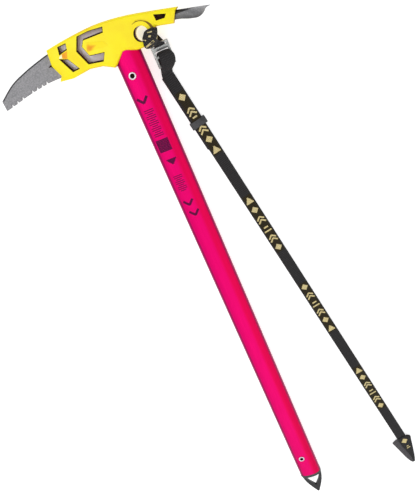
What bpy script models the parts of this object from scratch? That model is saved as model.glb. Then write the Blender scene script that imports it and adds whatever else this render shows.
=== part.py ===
"""Mountaineering ice axe with a webbing wrist leash, lying on its side.

The axe is drawn in its own frame and then laid down as it rests on a flat surface:
  +X towards the adze, +Y up the shaft towards the head, +Z out of the axe's front face,
  with the origin on the shaft's centreline, level with the rivet that holds the head.
The leash's strap is drawn in the resting frame: +Z up, the surface at z = 0.
Lengths are in metres and angles in degrees.
"""

import math

import bmesh
import bpy
from mathutils import Matrix, Vector

GAP = 0.0003                  # clearance between pieces that touch

# Resting place: the axe leans on the adze's lower corner, the pick's tip and the lower rivet.
ROLL = 5.04                   # adze side up, turned about the shaft
PITCH = 0.32                  # head end up, turned about the pick's direction
REST_SHIFT = Vector((0.02557, 0.30702, 0.01552))

# Shaft: a flattened aluminium tube
SHAFT_WIDTH = 0.0316
SHAFT_DEPTH = 0.0208
SHAFT_WALL = 0.0016
SHAFT_TOP = 0.0300
SHAFT_END = -0.6375
SHAFT_ROUNDNESS = 2.7         # exponent of the oval, 2 is an ellipse

# Rivets through the shaft, off its centreline
RIVET_X = -0.0035
HEAD_RIVET_Y = 0.0004
SPIKE_RIVET_Y = -0.5975
RIVET_BORE = 0.0025
RIVET_SHANK = 0.0031
RIVET_HEAD = 0.0043
RIVET_HEAD_HEIGHT = 0.0009

# Head
PLATE_THICKNESS = 0.0040
PICK_TIP_X = -0.1557
EYE_CENTRE = (0.0240, 0.0364)
EYE_RADIUS = 0.0083
EYE_BOSS_RADIUS = 0.0137
COVER_HALF_DEPTH = 0.0134

# Adze: a pressed scoop whose root straddles the head plate
ADZE_ROOT_X = 0.0395
ADZE_FLARE_X = 0.0680
ADZE_TIP_X = 0.1040
ADZE_ROOT_HALF_WIDTH = 0.0052
ADZE_TIP_HALF_WIDTH = 0.0245
ADZE_SHEET = 0.0027
ADZE_LEG = 0.0100
ADZE_SCOOP = 0.0112
ADZE_CORNER = 0.0050          # how far the corners lie behind the middle of the edge
ADZE_RIVETS = (0.0430, 0.0595)
ADZE_RIVET_DROP = 0.0069
ADZE_RIVET_RADIUS = 0.0016
ADZE_RIVET_HEAD = 0.0024

# Spike
SPIKE_THICKNESS = 0.0042
SPIKE_TIP_Y = -0.6781
TANG_HALF_WIDTH = 0.0095

# Leash, in the resting frame
WEB_WIDTH = 0.0144
WEB_THICKNESS = 0.0015
STRAP_TOP = (0.0577, 0.2919)          # a point on the strap's centreline beside the buckle
STRAP_TURN = 10.62                    # the strap's angle to the shaft
STRAP_LENGTH = 0.6395                 # from the buckle's fold to the wrist fold
TAIL_LENGTH = 0.0990
TAIL_SHIFT = 0.0013
PLY_HEIGHTS = (0.0022, 0.0040, 0.0058)  # centres of the tail, back and front plies
SETTLED_HEIGHTS = (0.0024, 0.0042)    # back and front plies beyond the tail
BUCKLE_TOP = (0.0619, 0.3276, 0.0130)  # centre of the buckle's top bar
BUCKLE_WIDTH = 0.0215
BUCKLE_SLOPE = 18.0
BUCKLE_SIDE_BAR = 0.0030
BUCKLE_THICKNESS = 0.0024
BUCKLE_ENDS = (-0.0272, 0.0010)       # of the frame, measured from the top bar's centre
BUCKLE_SLOTS = {"buckle_slot_anchor": (-0.0033, -0.0010),
                "buckle_slot_top": (-0.0130, -0.0079),
                "buckle_slot_low": (-0.0242, -0.0160)}
KEEPER_AT = 0.0650                    # along the strap from its top
KEEPER_SIZE = (0.0206, 0.0085)        # across and along the strap
KEEPER_WALL = 0.0010
WRIST_FOLD_BARBS = (0.0173, 0.0132)   # how far its barbs reach, towards the shaft and away
WRIST_FOLD_LENGTH = 0.0547
WRIST_FOLD_THICKNESS = 0.0060
EYE_PASS_ANGLE = 35.7                 # turn of the webbing where it goes through the eye


def clear_scene():
    for item in list(bpy.data.objects):
        bpy.data.objects.remove(item, do_unlink=True)


def paint(name, colour, roughness, metallic):
    material = bpy.data.materials.new(name)
    material.use_nodes = True
    shader = material.node_tree.nodes["Principled BSDF"]
    shader.inputs["Base Color"].default_value = (*colour, 1.0)
    shader.inputs["Roughness"].default_value = roughness
    shader.inputs["Metallic"].default_value = metallic
    return material


def add_object(name, mesh, material, parent):
    item = bpy.data.objects.new(name, mesh)
    bpy.context.scene.collection.objects.link(item)
    if material:
        mesh.materials.append(material)
    item.parent = parent
    return item


def mesh_from(bm, name, smooth_angle=None):
    bmesh.ops.recalc_face_normals(bm, faces=bm.faces[:])
    mesh = bpy.data.meshes.new(name)
    bm.to_mesh(mesh)
    bm.free()
    if smooth_angle:
        mesh.shade_smooth()
        mesh.set_sharp_from_angle(angle=math.radians(smooth_angle))
    return mesh


def arc(centre, radius, start, end, steps):
    """Points on a circle from one angle to another."""
    turns = [math.radians(start + (end - start) * i / steps) for i in range(steps + 1)]
    return [(centre[0] + radius * math.cos(t), centre[1] + radius * math.sin(t)) for t in turns]


def smooth_line(points, steps):
    """Catmull-Rom curve through the points, with steps pieces between each two."""
    line = []
    for i in range(len(points) - 1):
        before = Vector(points[max(i - 1, 0)])
        start, end = Vector(points[i]), Vector(points[i + 1])
        after = Vector(points[min(i + 2, len(points) - 1)])
        for step in range(steps):
            t = step / steps
            place = 0.5 * (2 * start + (end - before) * t
                           + (2 * before - 5 * start + 4 * end - after) * t ** 2
                           + (3 * start - before - 3 * end + after) * t ** 3)
            line.append(tuple(place))
    line.append(tuple(points[-1]))
    return line


def offset(outline, distance):
    """The outline moved outwards by distance (inwards when negative). It runs anticlockwise."""
    moved = []
    count = len(outline)
    for i, point in enumerate(outline):
        here = Vector(point)
        back = (here - Vector(outline[i - 1])).normalized()
        ahead = (Vector(outline[(i + 1) % count]) - here).normalized()
        normal_back, normal_ahead = Vector((back.y, -back.x)), Vector((ahead.y, -ahead.x))
        miter = (normal_back + normal_ahead).normalized()
        stretch = min(1.0 / max(miter.dot(normal_ahead), 0.35), 2.0)
        moved.append(tuple(here + miter * distance * stretch))
    return moved


def stacked(layers):
    """Closed solid through outlines of equal point count, each given as (outline, z)."""
    bm = bmesh.new()
    rings = [[bm.verts.new((x, y, z)) for x, y in outline] for outline, z in layers]
    for low, high in zip(rings, rings[1:]):
        count = len(low)
        for i in range(count):
            j = (i + 1) % count
            bm.faces.new((low[i], low[j], high[j], high[i]))
    bm.faces.new(reversed(rings[0]))
    bm.faces.new(rings[-1])
    return bm


def prism(outline, low, high):
    return stacked([(outline, low), (outline, high)])


def cutter(name, bm, parent):
    item = add_object(name, mesh_from(bm, name), None, parent)
    item.hide_render = True
    item.display_type = "WIRE"
    return item


def cut(target, tool):
    change = target.modifiers.new("cut_" + tool.name, "BOOLEAN")
    change.operation = "DIFFERENCE"
    change.solver = "EXACT"
    change.object = tool


def rod(radius, low, high, x, y, segments=32):
    return prism(arc((x, y), radius, 0, 360 - 360 / segments, segments - 1), low, high)


# ---------------------------------------------------------------- shaft

def oval(half_width, half_depth, segments=40):
    """Points (x, z) of the shaft's flattened oval."""
    power = 2.0 / SHAFT_ROUNDNESS
    points = []
    for i in range(segments):
        turn = 2 * math.pi * i / segments
        c, s = math.cos(turn), math.sin(turn)
        points.append((half_width * math.copysign(abs(c) ** power, c),
                       half_depth * math.copysign(abs(s) ** power, s)))
    return points


def tube_between(outer, inner, low, high):
    """Tube along Y with an outer and an inner outline in (x, z)."""
    bm = bmesh.new()
    rings = [[bm.verts.new((x, y, z)) for x, z in outline]
             for outline, y in ((outer, low), (outer, high), (inner, high), (inner, low))]
    count = len(outer)
    for a, b in zip(rings, rings[1:] + rings[:1]):
        for i in range(count):
            j = (i + 1) % count
            bm.faces.new((a[i], a[j], b[j], b[i]))
    return bm


def bar_along_y(outline, low, high):
    """Solid bar along Y with an outline in (x, z)."""
    bm = bmesh.new()
    first = [bm.verts.new((x, low, z)) for x, z in outline]
    last = [bm.verts.new((x, high, z)) for x, z in outline]
    count = len(outline)
    for i in range(count):
        j = (i + 1) % count
        bm.faces.new((first[i], first[j], last[j], last[i]))
    bm.faces.new(first)
    bm.faces.new(reversed(last))
    return bm


def make_shaft(axe, metal, rivet_holes):
    outer = oval(SHAFT_WIDTH / 2, SHAFT_DEPTH / 2)
    inner = oval(SHAFT_WIDTH / 2 - SHAFT_WALL, SHAFT_DEPTH / 2 - SHAFT_WALL)
    tube = add_object("shaft_tube", mesh_from(tube_between(outer, inner, SHAFT_END, SHAFT_TOP),
                                              "shaft_tube", 30), metal, axe)
    for hole in rivet_holes:
        cut(tube, hole)


def make_inserts(axe, plastic, prefix, low, high, rivet_hole, tang_thickness):
    """Two moulded halves that fill the shaft on either side of a flat tang."""
    inner_x = SHAFT_WIDTH / 2 - SHAFT_WALL - GAP
    inner_z = SHAFT_DEPTH / 2 - SHAFT_WALL - GAP
    flat = tang_thickness / 2 + GAP
    for side, name in ((1, "front"), (-1, "back")):
        outline = [(x, z * side) for x, z in oval(inner_x, inner_z, 72) if z > flat]
        reach = max(x for x, z in outline)
        outline = [(reach, flat * side)] + outline + [(-reach, flat * side)]
        insert = add_object(f"{prefix}_insert_{name}",
                            mesh_from(bar_along_y(outline, low, high), prefix, 30), plastic, axe)
        cut(insert, rivet_hole)


def make_rivet(axe, metal, name, y):
    """Hollow rivet, its shank along Z, flanged on both faces of the shaft."""
    seat = SHAFT_DEPTH / 2 + GAP
    top = seat + RIVET_HEAD_HEIGHT
    lip = 0.0004
    profile = [(RIVET_BORE, top), (RIVET_HEAD - lip, top), (RIVET_HEAD, top - lip),
               (RIVET_HEAD, seat), (RIVET_SHANK, seat),
               (RIVET_SHANK, -seat), (RIVET_HEAD, -seat), (RIVET_HEAD, lip - top),
               (RIVET_HEAD - lip, -top), (RIVET_BORE, -top)]
    bm = bmesh.new()
    segments = 28
    rings = []
    for i in range(segments):
        turn = 2 * math.pi * i / segments
        rings.append([bm.verts.new((RIVET_X + r * math.cos(turn), y + r * math.sin(turn), z))
                      for r, z in profile])
    for i in range(segments):
        a, b = rings[i], rings[(i + 1) % segments]
        for k in range(len(profile)):
            m = (k + 1) % len(profile)
            bm.faces.new((a[k], b[k], b[m], a[m]))
    add_object(name, mesh_from(bm, name, 40), metal, axe)


# ---------------------------------------------------------------- head plate

PICK_TOP = [(PICK_TIP_X, 0.0306), (-0.1357, 0.0427), (-0.1150, 0.0497), (-0.0957, 0.0543),
            (-0.0823, 0.0569), (-0.0560, 0.0605), (-0.0220, 0.0617), (0.0090, 0.0582),
            (0.0300, 0.0528)]
PICK_BOTTOM = [(-0.0780, 0.0284), (-0.0940, 0.0286), (-0.1100, 0.0270), (-0.1260, 0.0249),
               (-0.1420, 0.0216), (PICK_TIP_X, 0.0192)]
TEETH_X = (-0.0982, -0.1048, -0.1114, -0.1180, -0.1320, -0.1398, -0.1472)
TOOTH_DEPTH = 0.0032
TOOTH_HALF_WIDTH = 0.0017


def height_on(line, x):
    """Height of a polyline at x."""
    for (x0, y0), (x1, y1) in zip(line, line[1:]):
        if min(x0, x1) <= x <= max(x0, x1):
            return y0 + (y1 - y0) * (x - x0) / (x1 - x0)
    raise ValueError("x lies outside the line")


def toothed_edge():
    """The pick's lower edge from the cover to the tip, notched between its teeth."""
    base = smooth_line(PICK_BOTTOM, 6)
    edge = []
    for x in [p[0] for p in base[::3]]:
        if all(abs(x - tooth) > 1.8 * TOOTH_HALF_WIDTH for tooth in TEETH_X):
            edge.append((x, height_on(base, x)))
    for tooth in TEETH_X:
        for step, rise in ((1.0, 0.0), (0.45, TOOTH_DEPTH * 0.8), (-0.2, TOOTH_DEPTH),
                           (-1.0, 0.0)):
            x = tooth + step * TOOTH_HALF_WIDTH
            edge.append((x, height_on(base, x) + rise))
    return sorted(edge, key=lambda p: -p[0])


def ridge(x):
    """Height of the adze's top line."""
    return 0.0447 - 0.25 * (x - 0.0674)


def plate_outline():
    tail_end = 0.0625
    top = ridge(ADZE_ROOT_X) - ADZE_SHEET - 0.0010
    tail_top = ridge(tail_end) - ADZE_SHEET - 0.0010
    tail_bottom = ridge(tail_end) - ADZE_LEG
    neck = 0.0132
    shoulder = SHAFT_TOP + GAP
    tang_end = -0.0285
    return ([(-0.0200, 0.0232), (-0.0300, 0.0247), (-0.0450, 0.0277), (-0.0600, 0.0260)]
            + toothed_edge() + smooth_line(PICK_TOP, 4)
            + [(ADZE_ROOT_X - 0.0010, top + 0.0006), (tail_end, tail_top),
               (tail_end, tail_bottom)]
            + [(ADZE_ROOT_X - 0.0010, ridge(ADZE_ROOT_X) - ADZE_LEG)]
            + arc(EYE_CENTRE, 0.0115, 12, -117, 12)
            + [(neck + 0.0035, shoulder), (neck - 0.0010, shoulder),
               (TANG_HALF_WIDTH, shoulder - 0.0040), (TANG_HALF_WIDTH, tang_end + 0.0030),
               (TANG_HALF_WIDTH - 0.0030, tang_end), (0.0030 - TANG_HALF_WIDTH, tang_end),
               (-TANG_HALF_WIDTH, tang_end + 0.0030), (-TANG_HALF_WIDTH, shoulder - 0.0040),
               (0.0010 - neck, shoulder), (-0.0172, shoulder), (-0.0180, 0.0250)])[::-1]


def make_head_plate(axe, steel, holes):
    half = PLATE_THICKNESS / 2
    edge = 0.0005
    outline = plate_outline()
    inner = offset(outline, -edge)
    layers = [(inner, -half), (outline, edge - half), (outline, half - edge), (inner, half)]
    plate = add_object("pick_plate", mesh_from(stacked(layers), "pick_plate", 30), steel, axe)
    for hole in holes:
        cut(plate, hole)


# ---------------------------------------------------------------- adze

def blend(t):
    t = min(max(t, 0.0), 1.0)
    return t * t * (3.0 - 2.0 * t)


def adze_section(x):
    """(half width, drop of the sides, squareness) of the scoop at x."""
    flare = (x - ADZE_FLARE_X) / (ADZE_TIP_X - ADZE_FLARE_X)
    half_width = ADZE_ROOT_HALF_WIDTH + (ADZE_TIP_HALF_WIDTH - ADZE_ROOT_HALF_WIDTH) * (
        max(flare, 0.0) ** 1.15)
    drop = ADZE_LEG + (ADZE_SCOOP - ADZE_LEG) * blend(flare * 3.0)
    drop *= 1.0 - max(2.0 * flare - 1.0, 0.0) ** 1.6
    squareness = 6.0 - 3.8 * blend(flare * 2.0)
    return half_width, drop, squareness


def scoop_point(x, turn, inset):
    half_width, drop, squareness = adze_section(x)
    power = 2.0 / squareness
    c, s = math.cos(turn), max(math.sin(turn), 0.0)
    z = (half_width - inset) * math.copysign(abs(c) ** power, c)
    fall = max(drop - inset, 0.0) * (1.0 - s ** power)
    return Vector((x, ridge(x) - inset - fall, z))


def make_adze(axe, steel, holes):
    """Sheet pressed into an inverted U at its root that opens into a flat cutting edge."""
    lengthwise = ([ADZE_ROOT_X, 0.0520]
                  + [ADZE_FLARE_X + (ADZE_TIP_X - ADZE_FLARE_X) * i / 15 for i in range(16)])
    across = 22
    bm = bmesh.new()
    sheets = []
    for inset_full in (0.0, ADZE_SHEET):
        rows = []
        for x in lengthwise:
            thin = blend((x - 0.0920) / (ADZE_TIP_X - 0.0920))
            inset = inset_full * (1.0 - 0.75 * thin)
            row = []
            for k in range(across + 1):
                turn = math.pi * k / across
                place = scoop_point(x, turn, inset)
                corner = abs(place.z / ADZE_TIP_HALF_WIDTH) ** 3
                pull = ADZE_CORNER * corner * blend((x - ADZE_FLARE_X) / (ADZE_TIP_X - ADZE_FLARE_X))
                place.x -= pull
                row.append(bm.verts.new(place))
            rows.append(row)
        sheets.append(rows)
    top, bottom = sheets
    for i in range(len(lengthwise) - 1):
        for k in range(across):
            bm.faces.new((top[i][k], top[i + 1][k], top[i + 1][k + 1], top[i][k + 1]))
            bm.faces.new((bottom[i][k], bottom[i][k + 1], bottom[i + 1][k + 1],
                          bottom[i + 1][k]))
        for k in (0, across):
            bm.faces.new((top[i][k], bottom[i][k], bottom[i + 1][k], top[i + 1][k]))
    for row_top, row_bottom in ((top[0], bottom[0]), (top[-1], bottom[-1])):
        for k in range(across):
            bm.faces.new((row_top[k], row_top[k + 1], row_bottom[k + 1], row_bottom[k]))
    blade = add_object("adze_blade", mesh_from(bm, "adze_blade", 40), steel, axe)
    for hole in holes:
        cut(blade, hole)


def make_adze_rivet(axe, metal, name, x):
    """Solid rivet through the adze's legs and the plate, headed on both sides."""
    y = ridge(x) - ADZE_RIVET_DROP
    seat = ADZE_ROOT_HALF_WIDTH + GAP
    top = seat + 0.0011
    shank = ADZE_RIVET_RADIUS - GAP
    profile = [(shank, -seat), (ADZE_RIVET_HEAD, -seat), (ADZE_RIVET_HEAD * 0.75, -top)]
    rings = [(r, z) for r, z in reversed(profile)] + [(r, -z) for r, z in profile]
    layers = [(arc((x, y), r, 0, 345, 23), z) for r, z in rings]
    add_object(name, mesh_from(stacked(layers), name, 40), metal, axe)


# ---------------------------------------------------------------- cover

COVER_TOP = [(0.0712, 0.0466), (0.0384, 0.0547), (0.0092, 0.0609), (-0.0218, 0.0640),
             (-0.0553, 0.0628), (-0.0810, 0.0603)]
COVER_FRONT = [(-0.0832, 0.0434), (-0.0780, 0.0301), (-0.0822, 0.0248)]
COVER_BOTTOM = [(-0.0663, 0.0226), (-0.0449, 0.0247), (-0.0295, 0.0219), (-0.0176, 0.0155)]
COVER_OVER_SHAFT = [(-0.0140, 0.0172), (-0.0024, 0.0275), (0.0016, 0.0275), (0.0126, 0.0232)]
COVER_ADZE_END = [(0.0425, 0.0373), (0.0607, 0.0327), (0.0672, 0.0440)]

# Depth of the cover along X, as a share of its full half depth
COVER_DEPTH = [(-0.0900, 0.50), (-0.0480, 0.70), (-0.0120, 1.0), (0.0360, 1.0), (0.0750, 0.74)]

FORE_WINDOW_TOP = [(-0.0694, 0.0503), (-0.0588, 0.0523), (-0.0570, 0.0591), (-0.0675, 0.0588)]
FORE_WINDOW_LOW = [(-0.0718, 0.0471), (-0.0634, 0.0288), (-0.0544, 0.0293), (-0.0623, 0.0432)]
SIDE_WINDOW = [(-0.0113, 0.0588), (-0.0277, 0.0608), (-0.0425, 0.0605), (-0.0500, 0.0468),
               (-0.0434, 0.0297), (-0.0260, 0.0262), (-0.0206, 0.0347), (-0.0380, 0.0377),
               (-0.0416, 0.0487), (-0.0376, 0.0541), (-0.0136, 0.0531)]
ADZE_WINDOW = [(0.0444, 0.0424), (0.0539, 0.0414), (0.0569, 0.0449), (0.0439, 0.0492)]


def cover_outline():
    boss = arc(EYE_CENTRE, EYE_BOSS_RADIUS, -95, 0, 12)
    points = (COVER_BOTTOM + COVER_OVER_SHAFT + [(0.0165, 0.0228)] + boss
              + COVER_ADZE_END + smooth_line(COVER_TOP, 3) + COVER_FRONT)
    return points


def cover_depth(x):
    return height_on(COVER_DEPTH, min(max(x, COVER_DEPTH[0][0]), COVER_DEPTH[-1][0]))


def make_cover_half(axe, plastic, name, side, tools):
    """One moulded shell of the head's cover, from the parting line outwards."""
    outline = cover_outline()
    full = COVER_HALF_DEPTH
    layers = [(outline, GAP / 2), (outline, full - 0.0032), (offset(outline, -0.0009), full - 0.0011),
              (offset(outline, -0.0026), full)]
    bm = stacked(layers)
    for x, _ in COVER_DEPTH[1:-1]:
        bmesh.ops.bisect_plane(bm, geom=bm.verts[:] + bm.edges[:] + bm.faces[:],
                               plane_co=(x, 0, 0), plane_no=(1, 0, 0))
    for vert in bm.verts:
        if vert.co.z > GAP:
            vert.co.z *= cover_depth(vert.co.x)
        vert.co.z *= side
    shell = add_object(name, mesh_from(bm, name, 30), plastic, axe)
    for tool in tools:
        cut(shell, tool)


def cover_tools(axe, through):
    """Pockets and windows that both halves share, and the eye."""
    reach = 0.0200
    plate = offset(plate_outline(), GAP)
    tools = [cutter("plate_pocket", prism(plate, -PLATE_THICKNESS / 2 - GAP,
                                          PLATE_THICKNESS / 2 + GAP), axe)]
    shaft = oval(SHAFT_WIDTH / 2 + GAP, SHAFT_DEPTH / 2 + GAP)
    tools.append(cutter("shaft_pocket", bar_along_y(shaft, -0.0300, SHAFT_TOP + GAP), axe))
    root = [(ADZE_ROOT_X - GAP, ridge(ADZE_ROOT_X) + GAP),
            (ADZE_ROOT_X - GAP, ridge(ADZE_ROOT_X) - ADZE_LEG - GAP),
            (0.0780, ridge(0.0780) - ADZE_LEG - 0.0030), (0.0780, ridge(0.0780) + GAP)]
    deep = ADZE_ROOT_HALF_WIDTH + 0.0010
    tools.append(cutter("adze_pocket", prism(root, -deep, deep), axe))
    mouth = [(max(x, 0.0640), y if x > 0.0640 else y - 0.25 * (0.0640 - x)) for x, y in root]
    tools.append(cutter("adze_mouth", prism(mouth, -deep - 0.0013, deep + 0.0013), axe))
    for i, x in enumerate(ADZE_RIVETS):
        bm = rod(ADZE_RIVET_HEAD + GAP, -0.0070, 0.0070, x, ridge(x) - ADZE_RIVET_DROP, 16)
        tools.append(cutter(f"adze_rivet_pocket_{i + 1}", bm, axe))
    windows = {"fore_window_top": FORE_WINDOW_TOP, "fore_window_low": FORE_WINDOW_LOW,
               "side_window": SIDE_WINDOW, "adze_window": ADZE_WINDOW}
    for name, outline in windows.items():
        tools.append(cutter(name, prism(outline, -reach, reach), axe))
    groove = (arc(EYE_CENTRE, EYE_BOSS_RADIUS - 0.0007, 100, 25, 10)
              + arc(EYE_CENTRE, EYE_BOSS_RADIUS + 0.0009, 25, 90, 9))
    floor = COVER_HALF_DEPTH - 0.0010
    tools.append(cutter("eye_groove_front", prism(groove, floor, reach), axe))
    tools.append(cutter("eye_groove_back", prism(groove, -reach, -floor), axe))
    return tools + [through]


# ---------------------------------------------------------------- spike

def make_spike(axe, steel, rivet_hole):
    """Flat steel point with an eye, and a tang that the lower rivet holds in the shaft."""
    shoulder = SHAFT_END - GAP
    side = [(0.0152, shoulder), (0.0148, shoulder - 0.0060), (0.0120, shoulder - 0.0170),
            (0.0070, shoulder - 0.0290), (0.0012, SPIKE_TIP_Y)]
    right = smooth_line(side, 4)
    left = [(-x, y) for x, y in reversed(right)]
    tang_top = SPIKE_RIVET_Y + 0.0300
    outline = (left + [(-TANG_HALF_WIDTH, shoulder), (-TANG_HALF_WIDTH, tang_top),
                       (TANG_HALF_WIDTH, tang_top), (TANG_HALF_WIDTH, shoulder)] + right)
    half = SPIKE_THICKNESS / 2
    edge = 0.0008
    inner = offset(outline[::-1], -edge)[::-1]
    layers = [(inner, -half), (outline, edge - half), (outline, half - edge), (inner, half)]
    spike = add_object("spike", mesh_from(stacked(layers), "spike", 30), steel, axe)
    right_side = [(0.0, SHAFT_END - 0.0268), (0.0068, SHAFT_END - 0.0168),
                  (0.0101, SHAFT_END - 0.0080), (0.0055, SHAFT_END - 0.0048)]
    left_side = [(-x, y) for x, y in right_side[:0:-1]]
    eye = smooth_line(right_side + left_side + right_side[:1], 4)[:-1]
    cut(spike, cutter("spike_eye", prism(eye, -0.0100, 0.0100), axe))
    cut(spike, rivet_hole)


# ---------------------------------------------------------------- leash

def ribbon(points, width, side_of, thickness, closed=False):
    """Flat webbing along 3D points; side_of(i) is the direction across it at point i."""
    bm = bmesh.new()
    rings = []
    count = len(points)
    for i, point in enumerate(points):
        ahead = Vector(points[(i + 1) % count if closed else min(i + 1, count - 1)])
        back = Vector(points[i - 1 if closed or i else 0])
        along = (ahead - back).normalized()
        side = side_of(i)
        up = along.cross(side).normalized() * (thickness / 2)
        side = side * (width(i) / 2)
        here = Vector(point)
        rings.append([bm.verts.new(here + a * side + b * up)
                      for a, b in ((-1, -1), (1, -1), (1, 1), (-1, 1))])
    pairs = list(zip(rings, rings[1:])) + ([(rings[-1], rings[0])] if closed else [])
    for a, b in pairs:
        for k in range(4):
            m = (k + 1) % 4
            bm.faces.new((a[k], a[m], b[m], b[k]))
    if not closed:
        bm.faces.new(rings[0])
        bm.faces.new(reversed(rings[-1]))
    return bm


def strap_direction():
    turn = math.radians(STRAP_TURN)
    return Vector((math.sin(turn), -math.cos(turn), 0))


def on_strap(distance, height, shift=0.0):
    """Point on the strap, measured from its top, with a shift to the adze side."""
    ahead = strap_direction()
    across = Vector((-ahead.y, ahead.x, 0))
    place = Vector((*STRAP_TOP, 0)) + ahead * distance + across * shift
    place.z = height
    return place


def settled(distance, ply):
    """Height of the back (0) or front (1) ply, which drops once the tail has ended."""
    high = PLY_HEIGHTS[ply + 1]
    return high + (SETTLED_HEIGHTS[ply] - high) * blend((distance - TAIL_LENGTH) / 0.0400)


def anchor_route():
    """Stations of the anchor loop: (distance from the eye, height, width, turn)."""
    square, turned = 0.0, EYE_PASS_ANGLE
    narrow, full = 0.0130, WEB_WIDTH - 0.0004
    return [(0.0030, 0.0184, narrow, turned), (0.0030, 0.0255, narrow, turned),
            (0.0034, 0.0312, narrow, turned), (0.0056, 0.0343, narrow, turned),
            (0.0095, 0.0350, full, turned), (0.0130, 0.0344, full, turned),
            (0.0156, 0.0312, full, turned * 0.9), (0.0172, 0.0255, full, turned * 0.7),
            (0.0186, 0.0195, full, turned * 0.3), (0.0198, 0.0162, full, square),
            (0.0213, 0.0155, full, square), (0.0224, 0.0148, full, square),
            (0.0225, 0.0133, full, square), (0.0220, 0.0118, full, square),
            (0.0213, 0.0106, full, square), (0.0198, 0.0099, full, square),
            (0.0178, 0.0076, full, turned * 0.3), (0.0158, 0.0048, full, turned * 0.7),
            (0.0130, 0.0028, full, turned), (0.0095, 0.0022, full, turned),
            (0.0058, 0.0024, narrow, turned), (0.0034, 0.0054, narrow, turned),
            (0.0030, 0.0115, narrow, turned)]


def closed_smooth(rows, steps):
    """Catmull-Rom through rows of numbers that close on themselves."""
    wrapped = rows[-1:] + rows + rows[:2]
    dense = []
    for i in range(1, len(rows) + 1):
        before, start, end, after = wrapped[i - 1:i + 3]
        for step in range(steps):
            t = step / steps
            dense.append(tuple(
                0.5 * (2 * p1 + (p2 - p0) * t + (2 * p0 - 5 * p1 + 4 * p2 - p3) * t ** 2
                       + (3 * p1 - p0 - 3 * p2 + p3) * t ** 3)
                for p0, p1, p2, p3 in zip(before, start, end, after)))
    return dense


def make_anchor_loop(parent, webbing):
    """Ring of webbing through the eye and round the buckle's top bar."""
    eye = rest_matrix() @ Vector((*EYE_CENTRE, 0))
    bar = Vector(BUCKLE_TOP)
    away = Vector((bar.x - eye.x, bar.y - eye.y, 0))
    reach = away.length
    away.normalize()
    lean = math.tan(math.radians(ROLL))
    stations = closed_smooth(anchor_route(), 2)
    points = []
    for r, z, _, _ in stations:
        inside = 1.0 - blend((r - 0.0120) / (reach - 0.0120))
        place = Vector((eye.x, eye.y, z)) + away * min(r, reach)
        place.y -= max(r - reach, 0.0)
        place.x -= lean * (z - eye.z) * inside
        points.append(place)

    def side_of(i):
        turn = math.radians(stations[i][3])
        return Vector((math.cos(turn), math.sin(turn), 0))

    bm = ribbon(points, lambda i: stations[i][2], side_of, WEB_THICKNESS, closed=True)
    place_on(parent, add_object("anchor_loop", mesh_from(bm, "anchor_loop", 50), webbing, parent))


def place_on(parent, item):
    """Keeps a mesh drawn in the resting frame in place under a parent that stands elsewhere."""
    item.data.transform(parent.matrix_world.inverted())
    item.matrix_parent_inverse = Matrix.Identity(4)


def rectangle(left, right, low, high):
    return [(left, low), (right, low), (right, high), (left, high)]


def round_edges(item, width):
    rim = item.modifiers.new("rim", "BEVEL")
    rim.width = width
    rim.segments = 2
    rim.limit_method = "ANGLE"


def make_buckle(parent, steel):
    """Stamped frame with three slots: the top one holds the anchor loop, the others the strap."""
    outer = BUCKLE_WIDTH / 2
    inner = outer - BUCKLE_SIDE_BAR
    bm = prism(rectangle(-outer, outer, *BUCKLE_ENDS), -BUCKLE_THICKNESS / 2, BUCKLE_THICKNESS / 2)
    frame = add_object("buckle_frame", mesh_from(bm, "buckle_frame", 30), steel, parent)
    slots = []
    for name, (low, high) in BUCKLE_SLOTS.items():
        slot = prism(rectangle(-inner, inner, low, high), -BUCKLE_THICKNESS, BUCKLE_THICKNESS)
        slots.append(cutter(name, slot, parent))
        cut(frame, slots[-1])
    round_edges(frame, 0.0004)
    slope = Matrix.Rotation(math.radians(BUCKLE_SLOPE), 4, "X")
    for item in [frame] + slots:
        item.matrix_local = slope


def fold_route():
    """Stations of the folded webbing, each (x, y, z, width). It comes up over the low bar and
    the middle bar in a slack hood, and goes back down under both."""
    top_y = BUCKLE_TOP[1]
    full = WEB_WIDTH
    return [(*on_strap(-GAP, PLY_HEIGHTS[2]), full), (0.0583, top_y - 0.0321, 0.0070, full),
            (0.0612, top_y - 0.0278, 0.0125, 0.0162), (0.0640, top_y - 0.0221, 0.0168, 0.0178),
            (0.0648, top_y - 0.0168, 0.0190, 0.0176), (0.0642, top_y - 0.0124, 0.0186, 0.0160),
            (0.0630, top_y - 0.0099, 0.0155, full), (0.0621, top_y - 0.0096, 0.0108, full),
            (0.0616, top_y - 0.0118, 0.0062, full), (0.0612, top_y - 0.0156, 0.0044, full),
            (0.0606, top_y - 0.0206, 0.0027, full), (0.0596, top_y - 0.0271, 0.0023, full),
            (0.0582, top_y - 0.0316, 0.0031, full), (*on_strap(-GAP, PLY_HEIGHTS[1]), full)]


def make_fold(parent, webbing):
    stations = smooth_line(fold_route(), 3)

    def side_of(i):
        turn = math.radians(STRAP_TURN) * (1.0 - blend((stations[i][1] - STRAP_TOP[1]) / 0.0100))
        return Vector((math.cos(turn), math.sin(turn), 0))

    bm = ribbon([row[:3] for row in stations], lambda i: stations[i][3], side_of, WEB_THICKNESS)
    place_on(parent, add_object("strap_fold", mesh_from(bm, "strap_fold", 50), webbing, parent))


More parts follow.
